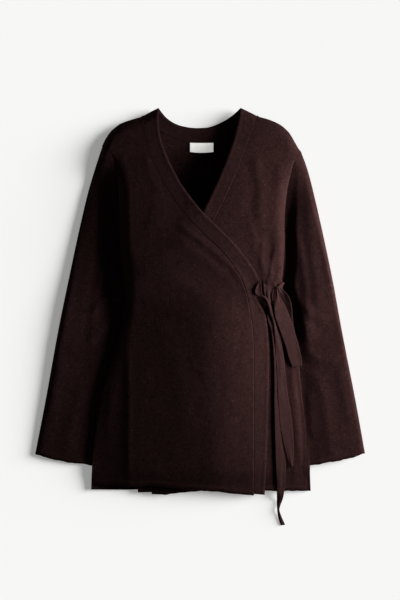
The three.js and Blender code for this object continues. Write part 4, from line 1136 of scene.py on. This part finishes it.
@dataclass
class FrontBand(Piece):
    """A front's edge band, from its seam to its free edge."""

    side: Side = Side.WEARERS_RIGHT
    band: Sequence[Sequence[float]] = OVER_BAND
    pinch: float = 0.0
    pinch_y: float = 38.0
    pinch_reach: float = 24.0
    columns: int = 16
    roll: float = 0.45
    hem_roll: float = 0.8
    groove: float = 0.1
    groove_reach: float = 1.6
    wander: float = 0.3

    def build(self, form: BodyForm, top: Height) -> bpy.types.Object:
        """Makes the band's shell, with a slight groove at its seam.

        Args:
            form: The body's outlines.
            top: The front's upper surface.

        Returns:
            The object.
        """
        t, across = PANEL_ROWS[:, None], np.linspace(0, 1, self.columns)[None, :]
        pull = self.pinch * bell(curve(self.band, 2)(t) - self.pinch_y, self.pinch_reach)
        x = lerp(curve(self.band, 3)(t), curve(self.band, 1)(t) - pull, across)
        y = lerp(curve(self.band, 4)(t), curve(self.band, 2)(t), across)
        width = np.hypot(x[:, -1] - x[:, 0], y[:, -1] - y[:, 0])[:, None]
        from_edge, above_hem = (1 - across) * width, np.hypot(x - x[:1], y - y[:1])
        level = rounded(form.inside_shoulder(x, y) / SHOULDER_FOLD)
        groove = self.groove * bell(across * width, self.groove_reach)
        z = top(x, y) + level * (edge_roll(from_edge, self.roll, 2.0) - groove)
        z += edge_roll(above_hem, self.hem_roll)
        x = x - self.side.value * self.wander * across * Ripple(41, 1.0, 7, 50).at(y, 0 * y)
        rims = (Rim.ROUND, Rim.SEAM, Rim.SEAM, Rim.ROUND)
        shell = Shell(np.stack([x, y, z], -1), BAND_CLOTH, flip=self.side is Side.WEARERS_LEFT, rims=rims)
        return shell.build(self.name)


@dataclass
class BackPanel(Piece):
    """The back, from side to side and up to the shoulders and the neck band's seam."""

    fold_count: int = 10
    shoulder_count: int = 20
    neck_count: int = 52
    neck_share: float = 0.24
    hem_x: float = 206.0
    spread: float = 1.01
    edge_run: float = 20.0

    def shares(self, whole: Array) -> Array:
        """Shares across the panel, with a column at each end of the neck.

        Args:
            whole: The panel's width in each row.

        Returns:
            Rows by columns.
        """
        fold = SIDE_FOLD / whole[:, None]
        rounds = fold * fold_steps(self.fold_count)[None, :]
        even = np.linspace(0, 1, self.shoulder_count, endpoint=False)[None, :]
        shoulder = lerp(fold, self.neck_share, even)
        neck = lerp(self.neck_share, 0.5, np.linspace(0, 1, self.neck_count // 2 + 1))
        half = np.concatenate([rounds, shoulder, np.broadcast_to(neck, (len(whole), len(neck)))], axis=1)
        return np.concatenate([half, 1 - half[:, -2::-1]], axis=1)

    def grid(self, form: BodyForm) -> Array:
        """Places of the back's points in plan.

        Args:
            form: The body's outlines.

        Returns:
            Rows by columns by two.
        """
        hem_curve = curve(HEMS, 3)

        def edge(side: Side, v: Array) -> Array:
            """A side seam and its armhole seam."""
            y = side_y(side, float(hem_curve(side.value * self.hem_x)), v)
            return np.stack([side.seam(y), y], -1)

        def near(v: Array) -> Array:
            """The wearer's right side."""
            return edge(Side.WEARERS_RIGHT, v)

        def far(v: Array) -> Array:
            """The wearer's left side."""
            return edge(Side.WEARERS_LEFT, v)

        def hem(u: Array) -> Array:
            """The hem."""
            x = lerp(near(np.zeros(1))[0, 0], far(np.zeros(1))[0, 0], u)
            return np.stack([x, hem_curve(x)], -1)

        def top(u: Array) -> Array:
            """A shoulder seam, the neck, and the other shoulder seam."""
            share = self.neck_share
            low = lerp(near(np.ones(1))[0, 0], NECK_BAND[0][3], u / share)
            high = lerp(far(np.ones(1))[0, 0], NECK_BAND[-1][3], (1 - u) / share)
            t = (u - share) / (1 - 2 * share)
            x = np.where(u < share, low, np.where(u > 1 - share, high, curve(NECK_BAND, 3)(t) * self.spread))
            neck_y = curve(NECK_BAND, 4)(t) + SEAM_LAP
            y = np.where((u < share) | (u > 1 - share), form.shoulder_y(x, x), neck_y)
            return np.stack([x, y], -1)

        v = PANEL_ROWS
        return Patch(near, far, hem, top).points(self.shares(far(v)[:, 0] - near(v)[:, 0]), v)

    def build(self, form: BodyForm) -> bpy.types.Object:
        """Makes the back's shell.

        Args:
            form: The body's outlines.

        Returns:
            The object.
        """
        plan = self.grid(form)
        x, y = plan[..., 0], plan[..., 1]
        relief = np.maximum(0, folds(BACK_CREASES, x, y) + Ripple(13, 0.3).at(x, y))
        level = ease(form.inside_side(x, y) / SIDE_FOLD) * ease(form.inside_shoulder(x, y) / SHOULDER_FOLD)
        level = level * ease((y - y[:1]) / self.edge_run) * ease((y[-1:] - y) / self.edge_run)
        z = form.back_bottom(x, y) + relief * level
        rims = (Rim.ROUND, Rim.SEAM, Rim.SEAM, Rim.SEAM)
        return Shell(np.stack([x, y, z], -1), CLOTH, flip=True, rims=rims).build(self.name)


@dataclass
class NeckBand(Piece):
    """The band round the back of the neck."""

    columns: int = 110
    rows: int = 14
    roll: float = 0.8

    def build(self, form: BodyForm) -> bpy.types.Object:
        """Makes the band's shell, its upper side eased at the seam and rolled at the edge.

        Args:
            form: The body's outlines.

        Returns:
            The object.
        """
        t, across = np.linspace(0, 1, self.columns)[None, :], np.linspace(0, 1, self.rows)[:, None]
        x = lerp(curve(NECK_BAND, 3)(t), curve(NECK_BAND, 1)(t), across)
        y = lerp(curve(NECK_BAND, 4)(t), curve(NECK_BAND, 2)(t), across)
        width = np.hypot(x[-1] - x[0], y[-1] - y[0])[None, :]
        thickness = BAND_CLOTH + np.maximum(-0.6, edge_roll((1 - across) * width, self.roll, 2.0))
        rims = (Rim.EASED, Rim.ROUND, Rim.SEAM, Rim.SEAM)
        points = np.stack([x, y, form.back_bottom(x, y)], -1)
        return Shell(points, thickness, flip=True, rims=rims).build(self.name)


@dataclass
class Sleeve(Piece):
    """A sleeve: one tube from the armhole to the cuff, its inner edge tucked under the body.

    The fields that end in _end, underarm_reach, low_start, low_run and cuff_start are shares of the
    sleeve's length from the armhole.
    """

    side: Side = Side.WEARERS_RIGHT
    rows: Sequence[Sequence[float]] = RIGHT_SLEEVE
    creases: Sequence[Crease] = RIGHT_SLEEVE_CREASES
    inner_fold: float = 8.0
    outer_fold: float = 17.0
    cuff_length: float = 152.0
    whole_length: float = 560.0
    narrow_end: float = 0.75
    seam_lap: float = 1.2
    bow_end: float = 0.6
    leave_end: float = 0.13
    under_leave_end: float = 0.1
    underarm_end: float = 0.07
    underarm_tuck: float = 6.0
    underarm_reach: float = 0.055
    cuff_wave: float = 2.2
    cuff_turns: float = 2.2
    cuff_start: float = 0.7
    rise_start: float = 6.0
    rise_run: float = 30.0
    steep_share: float = 0.0
    low_share: float = 0.0
    low_start: float = 0.42
    low_run: float = 0.2
    gentle_run: float = 105.0
    gentle_power: float = 1.8
    crest_share: float = 0.66
    inner_count: int = 6
    level_count: int = 60
    outer_count: int = 13
    stations: int = 226
    close_stations: int = 43
    close_end: float = 0.12

    def shares(self, s: Array) -> tuple[Array, Array, Array]:
        """Shares across the sleeve round its ring.

        Args:
            s: Shares of the way down, one a row.

        Returns:
            The shares, rows by columns, which of them are on the under side, and the sleeve's width.
        """
        half = self.inner_count + self.level_count + self.outer_count
        length = lerp(ARMHOLE_LENGTH, self.cuff_length, ease(s / self.narrow_end))
        inner, outer = self.inner_fold / length, 1 - self.outer_fold / length
        rounds = inner * fold_steps(self.inner_count)[None, :]
        level = lerp(inner, outer, np.linspace(0, 1, self.level_count + 1)[None, :])
        turn = 1 - (1 - outer) * fold_steps(self.outer_count)[::-1][None, :]
        top = np.concatenate([rounds, level, turn], axis=1)
        under = np.arange(2 * half) > half
        return np.concatenate([top, top[:, -2:0:-1]], axis=1), under[None, :], length

    def build(self, form: BodyForm) -> bpy.types.Object:
        """Makes the sleeve's shell.

        Args:
            form: The body's outlines.

        Returns:
            The object.
        """
        close = self.close_stations
        near_armhole = np.linspace(0, self.close_end, close + 1)
        further = np.linspace(self.close_end, 1, self.stations - close)
        s = np.unique(np.concatenate([near_armhole, further]))[:, None]
        w, under, length = self.shares(s)
        seam_y = lerp(UNDERARM_Y, self.side.tip_y, w)
        seam_x = self.side.seam(seam_y)
        lap = self.seam_lap * ease(w / 0.1) * (0.5 + 0.5 * ease((1 - w) / 0.05))
        straight = lerp(self.rows[0][3], self.rows[0][1], w)
        bow = (seam_x - self.side.value * lap - straight) * (1 - ease(s / self.bow_end)) ** 1.5
        x = lerp(curve(self.rows, 3)(s), curve(self.rows, 1)(s), w) + bow
        y = lerp(curve(self.rows, 4)(s), curve(self.rows, 2)(s), w)
        tuck = self.underarm_tuck * bell(s - self.underarm_end, self.underarm_reach) * (1 - w) ** 8
        x = x - self.side.value * tuck
        wave = self.cuff_wave * np.sin(w * math.pi * self.cuff_turns)
        y = y + wave * ease((s - self.cuff_start) / (1 - self.cuff_start))
        leave = ease(s / self.leave_end)
        inner_round = rounded(w * length / self.inner_fold)
        outer_round = rounded((1 - w) * length / self.outer_fold)
        out, body = np.abs(x), np.abs(form.side_x(x, np.minimum(y, UNDERARM_Y)))
        tucked = out < np.abs(form.side_x(x, y))
        crest = curve(SLEEVE_HEIGHTS, 1)(s) * self.crest_share
        past = out - body - self.rise_start
        sharp = lerp(self.steep_share, self.low_share, ease((s - self.low_start) / self.low_run))
        gentle = (1 - self.steep_share) * np.clip(past / self.gentle_run, 0, 1) ** self.gentle_power
        level = lerp(SLEEVE_TUCK_Z, crest, np.where(tucked, 0, sharp * ease(past / self.rise_run) + gentle))
        underarm_z = curve(BODY_HEIGHTS, 2)(UNDERARM_Y) - SEAM_GAP / 2
        inner_mid = lerp(underarm_z, SLEEVE_TUCK_Z / 2, ease(s / self.underarm_end))
        outer_mid = lerp(SHOULDER_Z - SEAM_GAP / 2, crest / 2, leave)
        on_seam = w > 0
        seam_top = np.where(on_seam, form.turned_down(0 * seam_x, seam_x, seam_y), inner_mid)
        seam_under = np.where(on_seam, form.back_bottom(seam_x, seam_y), inner_mid)
        shown = ease((out - np.abs(form.side_x(x, y)) + 2) / 16) * inner_round * outer_round * leave
        relief = folds(self.creases, x, y) + Ripple(21 + self.side.value, 0.25).at(x, y)
        down = (1 - s) * self.whole_length
        level = level + relief * shown + edge_roll(down, 0.8) * shown
        level_top = lerp(inner_mid, lerp(outer_mid, level, outer_round), inner_round)
        bottom = np.maximum(0, Ripple(25 + self.side.value, 0.3).at(x, y)) * inner_round * outer_round
        level_under = lerp(inner_mid, lerp(outer_mid, bottom, outer_round), inner_round)
        below = lerp(seam_under, level_under, ease(s / self.under_leave_end))
        z = np.where(under, below, lerp(seam_top, level_top, leave))
        y = y + edge_wander(down, 35, x)
        points = np.stack([x, y, z], -1)
        rims = (Rim.SEAM, Rim.ROUND, Rim.SEAM, Rim.SEAM)
        flip = self.side is Side.WEARERS_LEFT
        return Shell(points, CLOTH, flip=flip, ring=True, rims=rims).build(self.name)


@dataclass
class NeckLabel(Piece):
    """The bare label that hangs inside the neck from the band's seam."""

    width: float = 44.5
    height: float = 18.5
    x: float = 3.2
    top: float = 328.2
    corner_drop: float = 4.8
    lift: float = 0.6
    hang: float = 0.8
    curl: float = 0.35
    columns: int = 30
    rows: int = 14

    def build(self, form: BodyForm) -> bpy.types.Object:
        """Makes the label's shell.

        Args:
            form: The body's outlines, for the level of the back under the label.

        Returns:
            The object.
        """
        across = np.linspace(-0.5, 0.5, self.columns)[None, :]
        down = 1 - np.linspace(0, 1, self.rows)[:, None]
        y = self.top - self.height * down + self.corner_drop * across**2 * (0.4 + down)
        x = self.x + self.width * across + 0 * down
        z = CLOTH + LABEL_CLOTH + self.lift + self.hang * down + self.curl * np.sin(9 * across + 2) * down
        z = z + form.back_bottom(x, y)
        return Shell(np.stack([x, y, z], -1), LABEL_CLOTH).build(self.name)


@dataclass
class Ribbon(Piece):
    """A tie's flat knitted ribbon through the rows of its bends."""

    rows: Sequence[Sequence[float]] = TAIL_LONG
    steps: int = 10
    columns: int = 13
    bead: float = 0.2
    bead_in: float = 1.4
    bead_reach: float = 1.1
    between_beads: float = 0.15
    wobble: float = 0.35
    cup: float = 0.0
    pleat: float = 0.9
    pleats: float = 1.2
    seed: int = 51

    def build(self, form: BodyForm) -> bpy.types.Object:
        """Makes the ribbon's shell, thicker along its two edges and in pleats where it is drawn together.

        Args:
            form: The body's outlines, for the level that the ribbon lies at.

        Returns:
            The object.
        """
        numbered = [(k, *row) for k, row in enumerate(self.rows)]
        at = np.linspace(0, len(self.rows) - 1, (len(self.rows) - 1) * self.steps + 1)[:, None]
        x0, y0, up, width, lean, turn = (curve(numbered, k)(at) for k in range(1, 7))
        lean, turn = np.radians(lean), np.radians(turn)
        share = np.linspace(-0.5, 0.5, self.columns)[None, :]
        across = share * width
        x = x0 + across * np.cos(lean) * np.cos(turn)
        y = y0 + across * np.sin(lean) * np.cos(turn)
        x = x + self.wobble * Ripple(self.seed, 1.0, 14, 60).at(y0, 0 * y0)
        rise = np.abs(np.sin(turn)) * width / 2
        z = form.tie_level(x, y) + up + rise + across * np.sin(turn)
        drawn = np.clip(1 - width / RIBBON_WIDTH, 0, 1)
        wave = 2 * math.pi * self.pleats * share + 0.6 * np.sin(0.06 * y0 + self.seed) + 0.4
        z = z + self.pleat * drawn * np.cos(wave) + self.cup * (2 * share) ** 2
        z = z + np.maximum(0, Ripple(self.seed + 1, 0.35, 9, 50).at(x, y))
        from_bead = (0.5 - np.abs(share)) * width - self.bead_in
        thickness = RIBBON_CLOTH - self.between_beads + self.bead * bell(from_bead, self.bead_reach)
        return Shell(np.stack([x, y, z], -1), thickness).build(self.name)


@dataclass
class StitchRun(Piece):
    """Small stitches along a seam, each a short rounded length of thread."""

    band: Sequence[Sequence[float]] = OVER_BAND
    start: float = 0.012
    end: float = 0.97
    count: int = 118
    length: float = 2.9
    radius: float = 0.42
    offset: float = 1.9
    toward: float = -1.0
    stand_off: float = 0.25
    end_drop: float = 0.5
    sides: int = 6

    def build(self, top: Height) -> bpy.types.Object:
        """Makes the stitches.

        Args:
            top: The front's upper surface.

        Returns:
            The object, one mesh of separate closed stitches.
        """
        t = np.linspace(self.start, self.end, self.count)
        x, y = curve(self.band, 3)(t), curve(self.band, 4)(t)
        way = np.stack([np.gradient(x), np.gradient(y)], 1)
        way /= np.linalg.norm(way, axis=1, keepdims=True)
        side = np.stack([way[:, 1], -way[:, 0]], 1) * self.toward
        middle = np.stack([x, y], 1) - side * self.offset
        rings = ((-0.5, 0.15), (-0.42, 0.75), (-0.2, 1.0), (0.2, 1.0), (0.42, 0.75), (0.5, 0.15))
        turn = np.arange(self.sides) / self.sides * 2 * math.pi
        points, faces = [], []
        for k in range(self.count):
            base = k * len(rings) * self.sides
            for along, size in rings:
                spot = middle[k] + way[k] * along * self.length
                plan = spot + np.outer(np.cos(turn) * self.radius * size, side[k])
                level = top(plan[:, :1], plan[:, 1:])[:, 0]
                height = level + self.stand_off - self.end_drop * (2 * along) ** 4
                points.append(np.column_stack([plan, height + np.sin(turn) * self.radius * size]))
            for ring in range(len(rings) - 1):
                first = base + ring * self.sides
                for c in range(self.sides):
                    a, b = first + c, first + (c + 1) % self.sides
                    faces.append((a, b, b + self.sides, a + self.sides))
            for ring in (0, len(rings) - 1):
                a = base + ring * self.sides
                faces += [(a, a + 1, a + 2, a + 3), (a, a + 3, a + 4, a + 5)]
        return mesh_object(self.name, np.concatenate(points), np.array(faces))


@dataclass
class Studio:
    """The pale lit surface, the low light from the right and the camera straight above."""

    frame_height: float = 1.136
    camera_x: float = 0.0
    camera_y: float = 0.0309
    distance: float = 5.0
    reference_z: float = 0.012
    key_place: tuple[float, float, float] = (0.82, 0.14, 0.235)
    key_length: float = 0.6
    key_height: float = 0.3
    key_power: float = 24.0
    floor_glow: float = 0.27
    floor_light: float = 6.78
    floor_light_height: float = 18.5
    floor_light_turn: float = 12.0
    floor_light_spread: float = 33.0
    label_light: float = 2.1
    label_light_place: tuple[float, float, float] = (0.5, 0.3, 2.0)
    label_light_spread: float = 10.0
    table_half: float = 4.0
    sensor: float = 36.0
    world: float = 0.05

    def build_floor(self) -> bpy.types.Object:
        """Makes the surface that the garment lies on, a lit white table.

        Returns:
            The surface.
        """
        half = self.table_half
        mesh = bpy.data.meshes.new("surface")
        corners = [(-half, -half, 0), (half, -half, 0), (half, half, 0), (-half, half, 0)]
        mesh.from_pydata(corners, [], [(0, 1, 2, 3)])
        floor = bpy.data.objects.new("surface", mesh)
        bpy.context.scene.collection.objects.link(floor)
        material = bpy.data.materials.new("Lit_White_Table")
        material.use_nodes = True
        shader = material.node_tree.nodes["Principled BSDF"]
        shader.inputs["Base Color"].default_value = (0.9, 0.9, 0.89, 1)
        shader.inputs["Roughness"].default_value = 0.9
        shader.inputs["Specular IOR Level"].default_value = 0.0
        shader.inputs["Emission Color"].default_value = (1.0, 1.0, 0.99, 1)
        shader.inputs["Emission Strength"].default_value = self.floor_glow
        mesh.materials.append(material)
        return floor

    def add_light(
        self, name: str, place: Vector, power: float, spread: float = 0.0
    ) -> bpy.types.Object:
        """Adds a light that points at the garment.

        Args:
            name: Its name.
            place: Where it stands, in metres.
            power: Its power.
            spread: An even light's spread in degrees, or nought for the strip of the key.

        Returns:
            The light.
        """
        data = bpy.data.lights.new(name, "SUN" if spread else "AREA")
        data.energy = power
        if spread:
            data.angle = math.radians(spread)
        else:
            data.shape, data.size, data.size_y = "RECTANGLE", self.key_length, self.key_height
        light = bpy.data.objects.new(name, data)
        light.location = place
        light.rotation_euler = (-place).to_track_quat("-Z", "Y").to_euler()
        bpy.context.scene.collection.objects.link(light)
        return light

    def build_lights(self, floor: bpy.types.Object, label: bpy.types.Object) -> None:
        """Adds the key from the right, a light for the surface, one for the label and a dim surrounding.

        Args:
            floor: The surface.
            label: The neck label.
        """
        label_lit = bpy.data.collections.new("lit_by_label_light")
        label_lit.objects.link(label)
        key = self.add_light("key", Vector(self.key_place), self.key_power)
        lit_by_key = bpy.data.collections.new("lit_by_key")
        key.light_linking.receiver_collection = lit_by_key
        lit_by_key.objects.link(floor)
        lit_by_key.collection_objects[0].light_linking.link_state = "EXCLUDE"
        turn, height = math.radians(self.floor_light_turn), math.radians(self.floor_light_height)
        way = Vector((math.cos(turn) * math.cos(height), math.sin(turn) * math.cos(height), math.sin(height)))
        even = self.add_light("surface_light", way * 3, self.floor_light, self.floor_light_spread)
        only_floor = bpy.data.collections.new("lit_by_surface_light")
        only_floor.objects.link(floor)
        even.light_linking.receiver_collection = only_floor
        place = Vector(self.label_light_place)
        soft = self.add_light("label_light", place, self.label_light, self.label_light_spread)
        soft.light_linking.receiver_collection = label_lit
        soft.light_linking.blocker_collection = label_lit
        world = bpy.data.worlds.new("surrounding")
        world.use_nodes = True
        background = world.node_tree.nodes["Background"]
        background.inputs["Color"].default_value = (1.0, 1.0, 1.0, 1)
        background.inputs["Strength"].default_value = self.world
        bpy.context.scene.world = world
        bpy.context.scene.view_settings.view_transform = "Standard"

    def build_camera(self) -> None:
        """Adds the camera straight above, with a long lens."""
        data = bpy.data.cameras.new("camera")
        data.sensor_width = self.sensor
        data.lens = self.sensor * (self.distance - self.reference_z) / self.frame_height
        camera = bpy.data.objects.new("camera", data)
        camera.location = (self.camera_x, self.camera_y, self.distance)
        bpy.context.scene.collection.objects.link(camera)
        bpy.context.scene.camera = camera

    def build(self, label: bpy.types.Object) -> None:
        """Builds the whole setting.

        Args:
            label: The neck label, which has a light of its own.
        """
        self.build_lights(self.build_floor(), label)
        self.build_camera()


@dataclass
class Palette:
    """The garment's finishes as materials."""

    groups: EffectGroups
    knit: WoolFinish = WoolFinish("Wool_Knit", "wool_knit")
    sleeve: WoolFinish = WoolFinish("Wool_Knit_Sleeve", "wool_knit", grain=10.0)
    band: WoolFinish = WoolFinish(
        "Wool_Band", "wool_band", (0.023, 0.0096, 0.0092), (0.095, 0.05, 0.047), (0.012, 0.005, 0.0048),
        pale_share=0.45, knit_share=0.6, relief=0.0008,
    )
    ribbon: WoolFinish = WoolFinish(
        "Tie_Ribbon", "tie_ribbon", (0.034, 0.0152, 0.0145), (0.085, 0.05, 0.048), (0.022, 0.009, 0.0088),
        pale_share=0.25, fleck_scale=600, wales=700, courses=900, knit_share=0.7, relief=0.0006,
    )
    label: SatinFinish = field(default_factory=SatinFinish)
    made: dict[str, bpy.types.Material] = field(default_factory=dict)

    def make(self, piece: Piece, finish: WoolFinish | SatinFinish, *shape: object) -> bpy.types.Object:
        """Builds a piece and dresses it in a finish, building the finish's material once.

        Args:
            piece: The piece.
            finish: Its finish.
            *shape: What the piece's build takes: the body's form, a surface, or both.

        Returns:
            The finished object.
        """
        made = piece.build(*shape)
        if finish.name not in self.made:
            self.made[finish.name] = finish.material(self.groups)
        return piece.dress(made, finish.slot, self.made[finish.name])


@dataclass
class Cardigan:
    """The garment: its panels, bands, sleeves, label, tie and stitches."""

    form: BodyForm
    palette: Palette

    def build_body(self) -> None:
        form, palette = self.form, self.palette
        left = Side.WEARERS_LEFT
        back = palette.make(BackPanel("cardigan_back", "back_panel"), palette.knit, form)
        over_panel = FrontPanel("cardigan_right_front", "right_front")
        over = palette.make(over_panel, palette.knit, form, form.over_top)
        under_panel = FrontPanel("cardigan_left_front", "left_front", left, UNDER_BAND, 2)
        under = palette.make(under_panel, palette.knit, form, form.under_top)
        over_strip = FrontBand("band_right_front", "right_front_band", pinch=14.0)
        over_band = palette.make(over_strip, palette.band, form, form.over_top)
        under_strip = FrontBand("band_left_front", "left_front_band", left, UNDER_BAND)
        under_band = palette.make(under_strip, palette.band, form, form.under_top)
        neck = palette.make(NeckBand("band_back_neck", "back_neck_band"), palette.band, form)
        over_run = StitchRun("stitches_right_front", "")
        over_thread = palette.make(over_run, palette.ribbon, form.over_top)
        under_run = StitchRun("stitches_left_front", "", UNDER_BAND, start=0.47, count=60, toward=1.0)
        under_thread = palette.make(under_run, palette.ribbon, form.under_top)

    def build_sleeves(self) -> None:
        """Builds the two sleeves; each one's area is twice its outline and a strip round its fold."""
        right = Sleeve("sleeve_right", "right_sleeve")
        left = Sleeve(
            "sleeve_left", "left_sleeve", Side.WEARERS_LEFT, LEFT_SLEEVE, LEFT_SLEEVE_CREASES,
            outer_fold=9, rise_start=2, rise_run=26, steep_share=0.48, low_share=0.12, gentle_power=1.1,
            crest_share=1.24,
        )
        for sleeve, area in ((right, 0.136), (left, 0.129)):
            made = self.palette.make(sleeve, self.palette.sleeve, self.form)

    def build_label(self) -> None:
        """Builds the neck label."""
        label = NeckLabel("neck_label_bare", "neck_label")
        made = self.palette.make(label, self.palette.label, self.form)

    def build_tie(self) -> None:
        """Builds the tied ribbons, each as the one layer that shows of a ribbon folded under near the knot.

        Each row has the ribbon, the width and length of what shows, and its area, less where it narrows.
        """
        stub = Ribbon("tie_front_stub", "front_tie", FRONT_STUB, pleat=0, cup=1.3, seed=52)
        strap = Ribbon("tie_side_strap", "side_tie", SIDE_STRAP, pleat=0.3, seed=54)
        loop = Ribbon("tie_bow_loop", "tie_loop", LOOP, seed=56)
        long_end = Ribbon("tie_end_long", "tie_tail_long", TAIL_LONG, seed=58)
        short_end = Ribbon("tie_end_short", "tie_tail_short", TAIL_SHORT, seed=60)
        knot = Ribbon("tie_knot_wrap", "tie_knot", KNOT, columns=33, pleat=2.4, pleats=1.7, seed=62)
        parts = (
            (stub, (0.014, 0.04), 0.0004),
            (strap, (0.01, 0.02), 0.00013),
            (loop, (0.0265, 0.314), 0.0064),
            (long_end, (0.023, 0.42), 0.007),
            (short_end, (0.0235, 0.332), 0.0049),
            (knot, (0.025, 0.041), 0.00071),
        )
        for part, flat, area in parts:
            made = self.palette.make(part, self.palette.ribbon, self.form)

    def build(self) -> None:
        """Builds the whole garment."""
        self.build_body()
        self.build_sleeves()
        self.build_label()
        self.build_tie()


def main() -> None:
    """Builds the setting and the garment."""
    logging.basicConfig(level=logging.INFO, format="%(message)s")
    garment = Cardigan(BodyForm(), Palette(EffectGroups()))
    garment.build()
    Studio().build(bpy.data.objects["neck_label_bare"])


if __name__ == "__main__":
    main()
